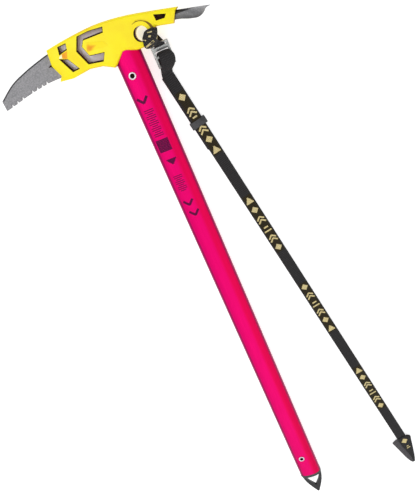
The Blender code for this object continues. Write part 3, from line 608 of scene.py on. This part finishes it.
def make_marks():
    """Dark bands woven into the upper ply, and the gold signs on them."""
    half, margin, steps = 0.0056, 0.0070, 24
    parts = 3                           # of a stroke, to follow the ply's waves
    signs = bmesh.new()
    layer = signs.verts.layers.float_vector.new("tape")
    ground = bmesh.new()
    ground_layer = ground.verts.layers.float_vector.new("tape")
    for first, last, kinds in MARK_GROUPS:
        length = last - first + 2 * margin
        for k in range(steps):
            a, b = (first - margin + length * n / steps for n in (k, k + 1))
            outline = [(-half, a), (half, a), (half, b), (-half, b)]
            tape_place(slab(ground, outline, upper_face, -0.0002, 0.00007), ground_layer)
        for n, kind in enumerate(kinds):
            middle = Vector((0, first + (last - first) * n / max(len(kinds) - 1, 1)))
            for a, b, width in motif(kind):
                a, b = Vector(a) + middle, Vector(b) + middle
                for k in range(parts):
                    p, q = a.lerp(b, k / parts - 0.02), a.lerp(b, (k + 1) / parts + 0.02)
                    sign = slab(signs, stroke(p, q, width), upper_face, -0.0001, 0.00018)
                    tape_place(sign, layer)
    return [put("woven_band", ground, BAND, "leash", 30),
            put("woven_marks", signs, MARK, "leash", 30)]


upper_ply, lower_ply, loose_tail, strap_line = make_plies()
marks = make_marks()


# ---------------------------------------------------------------- wrist end

def wrist_point(across, along, height):
    """Place from the wrist fold's base line, along the strap and to the adze side."""
    return on_strap(WRIST_START + along, height, across)


def upper_layer_height(across, along):
    """Height of the fold's upper layer, which slopes down to its tip and its far edge."""
    t = min(max(along / 0.052, 0.0), 1.0)
    return 0.0056 - 0.0014 * t - 0.0012 * min(max((across + 0.0069) / 0.0200, 0.0), 1.0) * (1 - t)


def make_wrist():
    """The doubled tape folded to a point: a lower layer turned out towards the shaft, and
    the marked upper layer over it, which narrows to the tip."""
    pressed = 0.0013                    # thickness of the folded tape

    def sheet(name, left, right, height, crown, material):
        rows = []
        left, right = catmull(left, 4), catmull(right, 4)
        for i, (a, b) in enumerate(zip(left, right)):
            share = i / (len(left) - 1)
            rows.append((wrist_point(*a, height(*a)), wrist_point(*b, height(*b)),
                         Vector((0, 0, 1)), crown * math.sin(math.pi * min(share + 0.05, 1))))
        return tape(name, rows, material, pressed)

    under = sheet("wrist_under_layer",
                  [(-0.0090, -0.0012), (-0.0168, 0.0016), (-0.0160, 0.0080), (-0.0139, 0.0220),
                   (-0.0118, 0.0350), (-0.0102, 0.0437), (-0.0080, 0.0512), (-0.0062, 0.0541)],
                  [(-0.0080, -0.0010), (0.0010, 0.0030), (0.0030, 0.0090), (0.0035, 0.0220),
                   (0.0018, 0.0350), (0.0002, 0.0437), (-0.0020, 0.0512), (-0.0042, 0.0543)],
                  lambda across, along: 0.0024 + 0.0010 * (across + 0.0170) / 0.0200, 0.0006,
                  WEB_INSIDE)
    over = sheet("wrist_upper_layer",
                 [(-0.0070, -0.0026), (-0.0068, 0.0050), (-0.0066, 0.0130), (-0.0054, 0.0230),
                  (-0.0042, 0.0340), (-0.0034, 0.0440), (-0.0036, 0.0510), (-0.0042, 0.0534)],
                 [(0.0090, -0.0022), (0.0130, 0.0026), (0.0108, 0.0115), (0.0082, 0.0215),
                  (0.0050, 0.0328), (0.0022, 0.0424), (-0.0008, 0.0505), (-0.0026, 0.0536)],
                 upper_layer_height, 0.0006, WEBBING)
    inner = sheet("wrist_inner_layer",
                  [(-0.0070, -0.0028), (-0.0069, 0.0060), (-0.0060, 0.0180), (-0.0030, 0.0300)],
                  [(0.0069, -0.0028), (0.0069, 0.0060), (0.0064, 0.0180), (0.0042, 0.0300)],
                  lambda across, along: 0.0040, 0.0002, WEBBING)
    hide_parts("wrist_fold")
    return [under, over, inner]


def make_wrist_mark():
    """The woven band goes on over the fold as two short signs."""
    bm = bmesh.new()
    layer = bm.verts.layers.float_vector.new("tape")

    def on_fold(across, along, lift):
        return wrist_point(across, along, upper_layer_height(across, along) + lift)

    for middle, kind, grow in ((0.0052, "lozenge", 1.05), (0.0185, "bars", 0.62)):
        shift = Vector((0.0010, middle))
        for a, b, width in motif(kind):
            outline = stroke(Vector(a) * grow + shift, Vector(b) * grow + shift, width * grow)
            tape_place(slab(bm, outline, on_fold, 0.0007, 0.0016), layer)
    return put("wrist_marks", bm, MARK, "leash", 30)


wrist = make_wrist() + [make_wrist_mark()]


# ---------------------------------------------------------------- fold in the buckle

def make_fold():
    """The strap's top, which bulges up through the buckle and runs back under itself."""
    top_y, full = BAR.y, WEB
    route = [(*on_strap(-0.0003, PLY_HEIGHTS[2]), full), (0.0583, top_y - 0.0321, 0.0070, full),
             (0.0612, top_y - 0.0278, 0.0125, 0.0162), (0.0640, top_y - 0.0221, 0.0168, 0.0178),
             (0.0648, top_y - 0.0168, 0.0190, 0.0176), (0.0642, top_y - 0.0124, 0.0186, 0.0160),
             (0.0630, top_y - 0.0099, 0.0155, full), (0.0621, top_y - 0.0096, 0.0108, full),
             (0.0616, top_y - 0.0118, 0.0062, full), (0.0612, top_y - 0.0156, 0.0044, full),
             (0.0606, top_y - 0.0206, 0.0027, full), (0.0596, top_y - 0.0271, 0.0023, full),
             (0.0582, top_y - 0.0316, 0.0031, full), (*on_strap(-0.0003, PLY_HEIGHTS[1]), full)]
    dense = catmull(route, 6)
    points = [Vector(p[:3]) for p in dense]

    def side_of(i):
        turn = STRAP_TURN * (1.0 - ease((points[i].y - STRAP_TOP.y) / 0.0100))
        return Vector((math.cos(turn), math.sin(turn), 0))

    def crown(i):
        return 0.0007 * ease((points[i].z - 0.010) / 0.006)

    item = tape("strap_hood", band(points, [p[3] for p in dense], side_of, crown))
    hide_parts("strap_fold")
    return item


hood = make_fold()


# ---------------------------------------------------------------- anchor loop

# The loop's front ply, from inside the eye over its rim and down to the buckle's bar: its
# edge towards the shaft, its middle and its edge towards the adze
ANCHOR_FRONT = (
    ((0.0476, 0.3376, 0.0184), (0.0502, 0.3408, 0.0184), (0.0530, 0.3438, 0.0184)),
    ((0.0476, 0.3376, 0.0262), (0.0502, 0.3408, 0.0262), (0.0530, 0.3438, 0.0262)),
    ((0.0475, 0.3373, 0.0318), (0.0503, 0.3406, 0.0322), (0.0532, 0.3441, 0.0324)),
    ((0.0472, 0.3364, 0.0342), (0.0512, 0.3398, 0.0346), (0.0550, 0.3448, 0.0349)),
    ((0.0468, 0.3344, 0.0346), (0.0530, 0.3384, 0.0353), (0.0598, 0.3449, 0.0354)),
    ((0.0463, 0.3312, 0.0328), (0.0556, 0.3362, 0.0350), (0.0646, 0.3440, 0.0356)),
    ((0.0464, 0.3290, 0.0296), (0.0580, 0.3330, 0.0326), (0.0669, 0.3424, 0.0344)),
    ((0.0472, 0.3274, 0.0254), (0.0582, 0.3302, 0.0280), (0.0652, 0.3388, 0.0312)),
    ((0.0490, 0.3266, 0.0214), (0.0572, 0.3282, 0.0234), (0.0630, 0.3340, 0.0268)),
    ((0.0516, 0.3262, 0.0184), (0.0578, 0.3274, 0.0196), (0.0630, 0.3306, 0.0216)),
    ((0.0542, 0.3264, 0.0166), (0.0602, 0.3268, 0.0168), (0.0658, 0.3280, 0.0174)),
)


def make_anchor():
    """Ring of webbing through the eye and round the buckle's top bar, spread over the rim."""
    eye = AXE @ Vector((*EYE, 0))
    away = Vector((BAR.x - eye.x, BAR.y - eye.y, 0))
    reach = away.length
    away.normalize()
    turned, narrow, full = 35.7, 0.0110, 0.0134
    # Stations down the loop's back and up inside the eye: distance from the eye's middle,
    # height, width and turn in degrees
    rear = [(0.0213, 0.0155, 0.0126, 0.0), (0.0224, 0.0148, 0.0130, 0.0),
            (0.0225, 0.0133, 0.0132, 0.0), (0.0220, 0.0118, 0.0134, 0.0),
            (0.0213, 0.0106, full, 0.0), (0.0198, 0.0099, full, 0.0),
            (0.0178, 0.0076, full, turned * 0.3), (0.0158, 0.0048, full, turned * 0.7),
            (0.0130, 0.0028, full, turned), (0.0095, 0.0022, full, turned),
            (0.0058, 0.0024, narrow, turned), (0.0034, 0.0054, narrow, turned),
            (0.0030, 0.0115, narrow, turned)]
    stations = [tuple(c for spot in row for c in spot) for row in ANCHOR_FRONT]
    for r, z, width, angle in rear:
        inside = 1.0 - ease((r - 0.0120) / (reach - 0.0120))
        place = Vector((eye.x, eye.y, z)) + away * min(r, reach)
        place.y -= max(r - reach, 0.0)
        place.x -= math.tan(LEAN) * (z - eye.z) * inside
        half = Vector((math.cos(math.radians(angle)), math.sin(math.radians(angle)), 0)) * width / 2
        stations.append((*(place - half), *place, *(place + half)))
    ring = catmull(stations[-2:] + stations + stations[:2], 4)[8:-8]
    rows = ring[:-1]
    count = len(rows)
    surface = []
    for i, row in enumerate(rows):
        ahead = Vector(rows[(i + 1) % count][3:6]) - Vector(rows[i - 1][3:6])
        left, middle, right = Vector(row[:3]), Vector(row[3:6]), Vector(row[6:])
        up = ahead.cross(right - left).normalized()
        surface.append((left, middle, right, up))
    bm = bmesh.new()
    layer = bm.verts.layers.float_vector.new("tape")
    loops = []
    along = 0.0
    for i, (left, middle, right, up) in enumerate(surface):
        along += (middle - surface[i - 1][1]).length if i else 0.0
        loop = []
        for u, face in round_tape():
            spot = across_row(left, middle, right, u) + up * WEB_THICKNESS / 2 * face
            vert = bm.verts.new(spot)
            vert[layer] = ((u - 0.5) * WEB, along, 0)
            loop.append(vert)
        loops.append(loop)
    skin(bm, loops, around=True)
    item = put("anchor_webbing", bm, WEBBING, "leash_loop", 60)
    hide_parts("anchor_loop")
    return surface


def across_row(left, middle, right, u):
    """Place across a row of the loop, from its shaft side to its adze side."""
    return (left * (1 - u) * (1 - 2 * u) + middle * 4 * u * (1 - u) + right * u * (2 * u - 1))


def make_anchor_signs(surface):
    """Parts of the woven signs, where they show on the loop's front."""
    bm = bmesh.new()
    layer = bm.verts.layers.float_vector.new("tape")

    def on_loop(u, row, lift):
        low = int(row)
        share = row - low
        spots = []
        for left, middle, right, up in (surface[low], surface[low + 1]):
            spots.append(across_row(left, middle, right, u) + up * (WEB_THICKNESS / 2 + lift))
        return spots[0].lerp(spots[1], share)

    for outline in ANCHOR_SIGNS:
        tape_place(slab(bm, outline, on_loop, -0.0002, 0.0002), layer)
    put("anchor_signs", bm, MARK, "leash_loop", 30)


# Outlines of the signs: share of the loop's width, and place along its rows
ANCHOR_SIGNS = (
    [(0.05, 22.2), (0.26, 22.4), (0.26, 24.6), (0.05, 24.4)],
    [(0.26, 22.4), (0.50, 23.4), (0.50, 26.0), (0.26, 24.6)],
    [(0.50, 17.6), (0.60, 17.4), (0.63, 19.6), (0.54, 20.0)],
    [(0.10, 13.4), (0.16, 13.2), (0.30, 17.4), (0.23, 17.8)],
    [(0.74, 14.6), (0.79, 14.4), (0.84, 18.8), (0.78, 19.0)],
    [(0.70, 26.8), (0.86, 27.4), (0.84, 28.8), (0.68, 28.2)],
    [(0.10, 29.2), (0.40, 29.6), (0.40, 30.4), (0.10, 30.0)],
)
make_anchor_signs(make_anchor())


# ---------------------------------------------------------------- details of the head

# Along the axe's X, the height of the cover's face as a share of its highest part
COVER_DEPTH = ((-0.0900, 0.50), (-0.0480, 0.70), (-0.0120, 1.0), (0.0360, 1.0), (0.0750, 0.74))
WINDOWS = {
    "fore_window_top": [(-0.0694, 0.0503), (-0.0588, 0.0523), (-0.0570, 0.0591), (-0.0675, 0.0588)],
    "fore_window_low": [(-0.0718, 0.0471), (-0.0634, 0.0288), (-0.0544, 0.0293), (-0.0623, 0.0432)],
    "side_window": [(-0.0113, 0.0588), (-0.0277, 0.0608), (-0.0425, 0.0605), (-0.0500, 0.0468),
                    (-0.0434, 0.0297), (-0.0260, 0.0262), (-0.0206, 0.0347), (-0.0380, 0.0377),
                    (-0.0416, 0.0487), (-0.0376, 0.0541), (-0.0136, 0.0531)],
    "adze_window": [(0.0444, 0.0424), (0.0539, 0.0414), (0.0569, 0.0449), (0.0439, 0.0492)],
}


def cover_face(x):
    """Height of the cover's face over the axe's middle plane."""
    for (x0, d0), (x1, d1) in zip(COVER_DEPTH, COVER_DEPTH[1:]):
        if x <= x1:
            return COVER_FACE * (d0 + (d1 - d0) * max(x - x0, 0.0) / (x1 - x0))
    return COVER_FACE * COVER_DEPTH[-1][1]


def on_cover(x, y, lift, side):
    """Place over the cover's front face, 1, or its back face, -1."""
    return AXE @ Vector((x, y, side * (cover_face(x) + lift)))


def wall_width(a, b):
    """Windows' walls lean in more on their pick side and lower side."""
    inward = Vector((a.y - b.y, b.x - a.x)).normalized()
    narrow, extra = 0.0006, 0.0014
    return narrow + extra * max(inward.x * 0.75 + inward.y * 0.65, 0.0)


def inset(outline, width_of):
    """The outline, anticlockwise, with each edge moved in by its own width."""
    points = [Vector(p) for p in outline]
    area = sum(a.x * b.y - b.x * a.y for a, b in zip(points, points[1:] + points[:1]))
    if area < 0:
        points.reverse()
    lines = []
    for a, b in zip(points, points[1:] + points[:1]):
        inward = Vector((a.y - b.y, b.x - a.x)).normalized() * width_of(a, b)
        lines.append((a + inward, (b - a).normalized()))
    inner = []
    for (p, d), (q, e) in zip(lines[-1:] + lines[:-1], lines):
        cross = d.x * e.y - d.y * e.x
        gap = q - p
        inner.append(p + d * ((gap.x * e.y - gap.y * e.x) / cross))
    return inner


def make_window_walls():
    """Leaning walls inside the cover's windows, on both faces, dark with painted shade."""
    for name, outline in WINDOWS.items():
        inner = inset(outline, wall_width)
        outer = inset(outline, lambda a, b: -0.0001)
        bm = bmesh.new()
        for side in (1, -1):
            loops = []
            for line, drop in ((outer, 0.0004), (inner, 0.0010), (inner, 0.0016), (outer, 0.0016)):
                loops.append([bm.verts.new(on_cover(p.x, p.y, -drop, side)) for p in line])
            skin(bm, loops, around=True)
        put(name + "_painted_shade_walls", bm, SHADE, "axe", 30)


def relief(name, corners, faces, material):
    """Faceted relief on both sides of the cover: corners are (x, y, height over its face)."""
    root = -0.0004
    bm = bmesh.new()
    for side in (1, -1):
        top = [bm.verts.new(on_cover(x, y, h, side)) for x, y, h in corners]
        low = [bm.verts.new(on_cover(x, y, root, side)) for x, y, _ in corners]
        for face in faces:
            bm.faces.new([top[i] for i in face])
            bm.faces.new([low[i] for i in reversed(face)])
        rim = [(a, b) for face in faces for a, b in zip(face, face[1:] + face[:1])]
        for a, b in rim:
            if (b, a) not in rim:
                bm.faces.new((top[a], low[a], low[b], top[b]))
    return put(name, bm, material, "axe", 20)


def make_relief():
    """Arrow-shaped boss inside the side window, and the folded bridge between the fore ones."""
    boss = [(-0.0355, 0.0508, 0.0009), (-0.0386, 0.0418, 0.0003), (-0.0345, 0.0446, 0.0001),
            (-0.0140, 0.0392, 0.0001), (-0.0170, 0.0452, 0.0006)]
    # The boss's plastic carries painted shade
    relief("side_boss", boss, [[0, 1, 2], [1, 3, 2], [0, 2, 3, 4]], PAINTED_SHADE_PLASTIC)
    bridge = [(-0.0662, 0.0502, 0.0004), (-0.0592, 0.0512, 0.0001), (-0.0626, 0.0438, 0.0001),
              (-0.0676, 0.0460, 0.0004)]
    relief("fore_bridge", bridge, [[0, 3, 2, 1]], ORANGE)
    glint = [(-0.0688, 0.0499, 0.0001), (-0.0664, 0.0503, 0.0005), (-0.0678, 0.0461, 0.0005),
             (-0.0712, 0.0474, 0.0001)]
    # The bridge's pale edge is a painted highlight
    relief("fore_bridge_edge", glint, [[0, 3, 2, 1]], GLINT)


def make_pick_details():
    """Chamfer along the pick's top edge, dark with painted shade, and a patch of painted shade for
    the short slot by the cover.
    """
    top = catmull([(-0.1545, 0.0312), (-0.1357, 0.0427), (-0.1150, 0.0497), (-0.0957, 0.0543),
                   (-0.0823, 0.0569)], 6)
    proud = PLATE_HALF + 0.00008
    bm = bmesh.new()
    for side in (1, -1):
        loops = []
        for i, (x, y) in enumerate(top):
            x0, y0 = top[max(i - 1, 0)]
            x1, y1 = top[min(i + 1, len(top) - 1)]
            out = Vector((y0 - y1, x1 - x0)).normalized()
            spots = [(0.00004, 0.0011), (-0.0002, proud), (-0.0015, proud), (-0.0015, 0.0015)]
            loops.append([bm.verts.new(AXE @ Vector((x + out.x * d, y + out.y * d, side * z)))
                          for d, z in spots])
        skin(bm, loops)
    put("pick_top_chamfer", bm, CHAMFER, "axe", 40)
    bm = bmesh.new()
    # A patch of painted shade for the slot
    slot = [(-0.0886, 0.0434), (-0.0850, 0.0428), (-0.0832, 0.0402), (-0.0818, 0.0430),
            (-0.0846, 0.0452)]
    for side in (1, -1):
        slab(bm, slot, lambda x, y, lift: AXE @ Vector((x, y, side * (PLATE_HALF + lift))),
             -0.0003, 0.00006)
    put("pick_slot_painted_shade", bm, SHADE, "axe", 30)


def make_adze_window_floor():
    """A sheet of painted shade deep in the adze end's window."""
    bm = bmesh.new()
    floor = inset(WINDOWS["adze_window"], lambda a, b: 0.0002)
    for side in (1, -1):
        slab(bm, floor, lambda x, y, lift: on_cover(x, y, lift, side), -0.0036, -0.0030)
    put("adze_window_shade_sheet", bm, SHADE, "axe", 30)


def crescent(name, first, last, rims, top, depth, material, sides=(1, -1)):
    """Curved strip round the eye, from one angle to another, let into the cover's faces."""
    bm = bmesh.new()
    steps = 26
    for side in sides:
        loops = []
        for k in range(steps + 1):
            turn = math.radians(first + (last - first) * k / steps)
            inner, outer = rims(k / steps)
            loop = []
            for r, h in ((inner, top), (outer, top), (outer, -depth), (inner, -depth)):
                x, y = EYE[0] + r * math.cos(turn), EYE[1] + r * math.sin(turn)
                loop.append(bm.verts.new(on_cover(x, y, h, side)))
            loops.append(loop)
        skin(bm, loops)
    put(name, bm, material, "axe", 30)


def make_eye_details():
    """A groove over the eye, wider towards the adze, drawn as a strip of painted shade, and a sheet
    of painted shade on the wall on its pick side.
    """
    groove_radius = 0.0131

    def groove(share):
        wide = 0.0004 + 0.0016 * ease((share - 0.45) / 0.4)
        return groove_radius - wide * 0.4, groove_radius + wide

    def wall(share):
        return EYE_RADIUS - 0.0017 * math.sin(math.pi * share) - 0.0002, EYE_RADIUS + 0.0001

    crescent("eye_groove_painted_shade", 112, -4, groove, 0.00008, 0.0012, TAN)
    crescent("eye_wall_painted_shade", 100, 262, wall, -0.0004, 0.0030, SHADE, (1,))


def make_shaft_end():
    """Dark moulded rim that closes the lower end of the shaft."""
    bm = bmesh.new()
    segments = 64
    height, power = 0.0044, 2 / SHAFT_ROUNDNESS
    rings = []
    for grow, rise in ((-0.0012, -0.0001), (0.00005, -0.0001), (0.00022, 0.0003),
                       (0.00022, height - 0.0004), (0.00004, height), (-0.0012, height)):
        ring = []
        for i in range(segments):
            turn = 2 * math.pi * i / segments
            c, s = math.cos(turn), math.sin(turn)
            x = (SHAFT_HALF_WIDTH + grow) * math.copysign(abs(c) ** power, c)
            z = (SHAFT_HALF_DEPTH + grow) * math.copysign(abs(s) ** power, s)
            ring.append(bm.verts.new(AXE @ Vector((x, SHAFT_END + rise, z))))
        rings.append(ring)
    skin(bm, rings, around=True)
    put("shaft_end_rim", bm, BLACK, "axe", 40)


make_window_walls()
make_relief()
make_pick_details()
make_adze_window_floor()
make_eye_details()
make_shaft_end()


# ---------------------------------------------------------------- carried-over and refined nodes

def own_material(node, material):
    """A CAD node that shows as it is, with its finished material."""
    nodes[node].data.materials.clear()
    nodes[node].data.materials.append(material)


for side in ("front", "back"):
    own_material(f"head_insert_{side}", BLACK)
    own_material(f"spike_insert_{side}", BLACK)
    refined(f"cover_{side}", YELLOW, "axe", 0.0007, 3, 32)
own_material("shaft_tube", PAINT)
own_material("adze_rivet_1", RIVET)
own_material("adze_rivet_2", RIVET)
refined("pick_plate", PICK, "axe", 0.0003, 2, 30)
refined("adze_blade", ADZE, "axe", 0.0003, 2, 40)
refined("spike", SPIKE, "axe", 0.0004, 2, 30)
refined("buckle_frame", BUCKLE, "leash", 0.0005, 3, 30)
keeper = refined("keeper", BLACK, "keeper", 0.0006, 3, 30)


def make_rivet(node, y):
    """Bright rolled flange round a blind bore, whose floor and walls carry painted shade, on both
    faces of the shaft.
    """
    seat = SHAFT_HALF_DEPTH + 0.0003
    bore, shank, head, rise = 0.0025, 0.0031, 0.0043, 0.0009
    off_middle = -0.0035
    blind = seat - 0.0022
    profile = [(0.0002, blind), (bore, blind), (bore, seat + rise * 0.5),
               (bore + 0.00025, seat + rise * 0.85), (bore + 0.0006, seat + rise),
               (head - 0.0007, seat + rise), (head - 0.0002, seat + rise * 0.75),
               (head, seat + rise * 0.35), (head, seat), (shank, seat)]
    profile += [(r, -z) for r, z in reversed(profile)]
    bm = bmesh.new()
    segments = 48
    rings = []
    for i in range(segments):
        turn = 2 * math.pi * i / segments
        rings.append([bm.verts.new(AXE @ Vector((off_middle + r * math.cos(turn),
                                                 y + r * math.sin(turn), z))) for r, z in profile])
    count = len(profile)
    for i in range(segments):
        a, b = rings[i], rings[(i + 1) % segments]
        for k in range(count):
            m = (k + 1) % count
            face = bm.faces.new((a[k], b[k], b[m], a[m]))
            # The bore's floor and walls take painted shade
            face.material_index = 1 if k < 2 or k > count - 4 else 0
    item = put(node + "_rolled", bm, [RIVET, SHADE], "axe", 50)
    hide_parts(node)


make_rivet("head_rivet", 0.0004)
make_rivet("spike_rivet", -0.5975)


# ---------------------------------------------------------------- print on the shaft

def shaft_height(x):
    """Height of the shaft's front over its middle plane."""
    share = min(abs(x) / SHAFT_HALF_WIDTH, 1.0) ** SHAFT_ROUNDNESS
    return SHAFT_HALF_DEPTH * (1 - share) ** (1 / SHAFT_ROUNDNESS)


def shaft_print():
    """Chevrons, rows of bars, a hatched square and a wedge: plain signs for any lettering."""
    strokes = []

    def chevron(x, y, size=1.0):
        w, h, t = 0.0062 * size, 0.0052 * size, 0.0030 * size
        strokes.extend([((x - w, y + h * 0.75), (x + 0.0002, y - h * 0.55), t),
                        ((x + w, y + h * 0.75), (x - 0.0002, y - h * 0.55), t)])

    def bars(x, y, count, pitch, half, t=0.0009):
        for n in range(count):
            here = y + (count - 1) * pitch / 2 - n * pitch
            reach = half * (0.62 if n % 3 == 2 else 1.0)
            strokes.append(((x - reach, here), (x + reach, here), t))

    chevron(-0.0040, -0.0288)
    bars(-0.0027, -0.0560, 14, 0.0024, 0.0058)
    for n in range(9):
        strokes.append(((-0.0102, -0.0772 - 0.0017 * n), (0.0050, -0.0772 - 0.0017 * n), 0.00155))
    for n in range(5):
        half = 0.0062 - 0.0012 * n
        strokes.append(((-0.0012 - half, -0.1022 - 0.0014 * n),
                        (-0.0012 + half, -0.1022 - 0.0014 * n), 0.00145))
    bars(-0.0026, -0.1332, 9, 0.0024, 0.0056)
    chevron(-0.0030, -0.1603, 0.95)
    chevron(-0.0012, -0.1749, 0.95)

    proud, sunk = 0.00011, -0.0002
    bm = bmesh.new()
    for a, b, width in strokes:
        a, b = Vector(a), Vector(b)
        steps = max(1, round((b - a).length / 0.0016))
        line = [a.lerp(b, k / steps) for k in range(steps + 1)]
        side = (b - a).normalized()
        side = Vector((-side.y, side.x)) * width / 2
        rows = []
        for p in line:
            row = []
            for q, lift in ((p - side, proud), (p + side, proud), (p + side, sunk),
                            (p - side, sunk)):
                row.append(bm.verts.new(AXE @ Vector((q.x, q.y, shaft_height(q.x) + lift))))
            rows.append(row)
        skin(bm, rows)
    put("shaft_signs", bm, INK, "axe", 30)


shaft_print()


# ---------------------------------------------------------------- points of the strap's line, computed and not used

tuple(strap_line[0])
[tuple(p) for p in strap_line[::4]]


# ---------------------------------------------------------------- stage

def plane(name, size, z, material):
    """Square floor of twice the size, which belongs to the stage."""
    bm = bmesh.new()
    corners = [(-size, -size), (size, -size), (size, size), (-size, size)]
    bm.faces.new([bm.verts.new((x, y, z)) for x, y in corners])
    mesh = bpy.data.meshes.new(name)
    bm.to_mesh(mesh)
    bm.free()
    mesh.materials.append(material)
    item = placed(name, mesh)


plane("floor", 6.0, 0.0, floor_look())

world = bpy.data.worlds.new("studio")
bpy.context.scene.world = world
world.use_nodes = True
sky = world.node_tree.nodes["Background"].inputs
sky["Color"].default_value = (1.0, 1.0, 1.0, 1.0)
sky["Strength"].default_value = 0.55
bpy.context.scene.view_settings.view_transform = "Standard"


def soft_light(name, place, target, size, power):
    """Square area light that faces its target."""
    data = bpy.data.lights.new(name, "AREA")
    data.shape = "SQUARE"
    data.size = size
    data.energy = power
    item = placed(name, data)
    item.location = place
    item.rotation_euler = (Vector(target) - Vector(place)).to_track_quat("-Z", "Y").to_euler()


soft_light("key", (-0.9, 0.7, 1.7), (0, 0.0, 0), 1.4, 14)
soft_light("fill", (1.3, -0.6, 1.5), (0, -0.1, 0), 1.8, 9)
soft_light("low", (-0.3, -1.2, 1.6), (0, -0.1, 0), 1.6, 9)
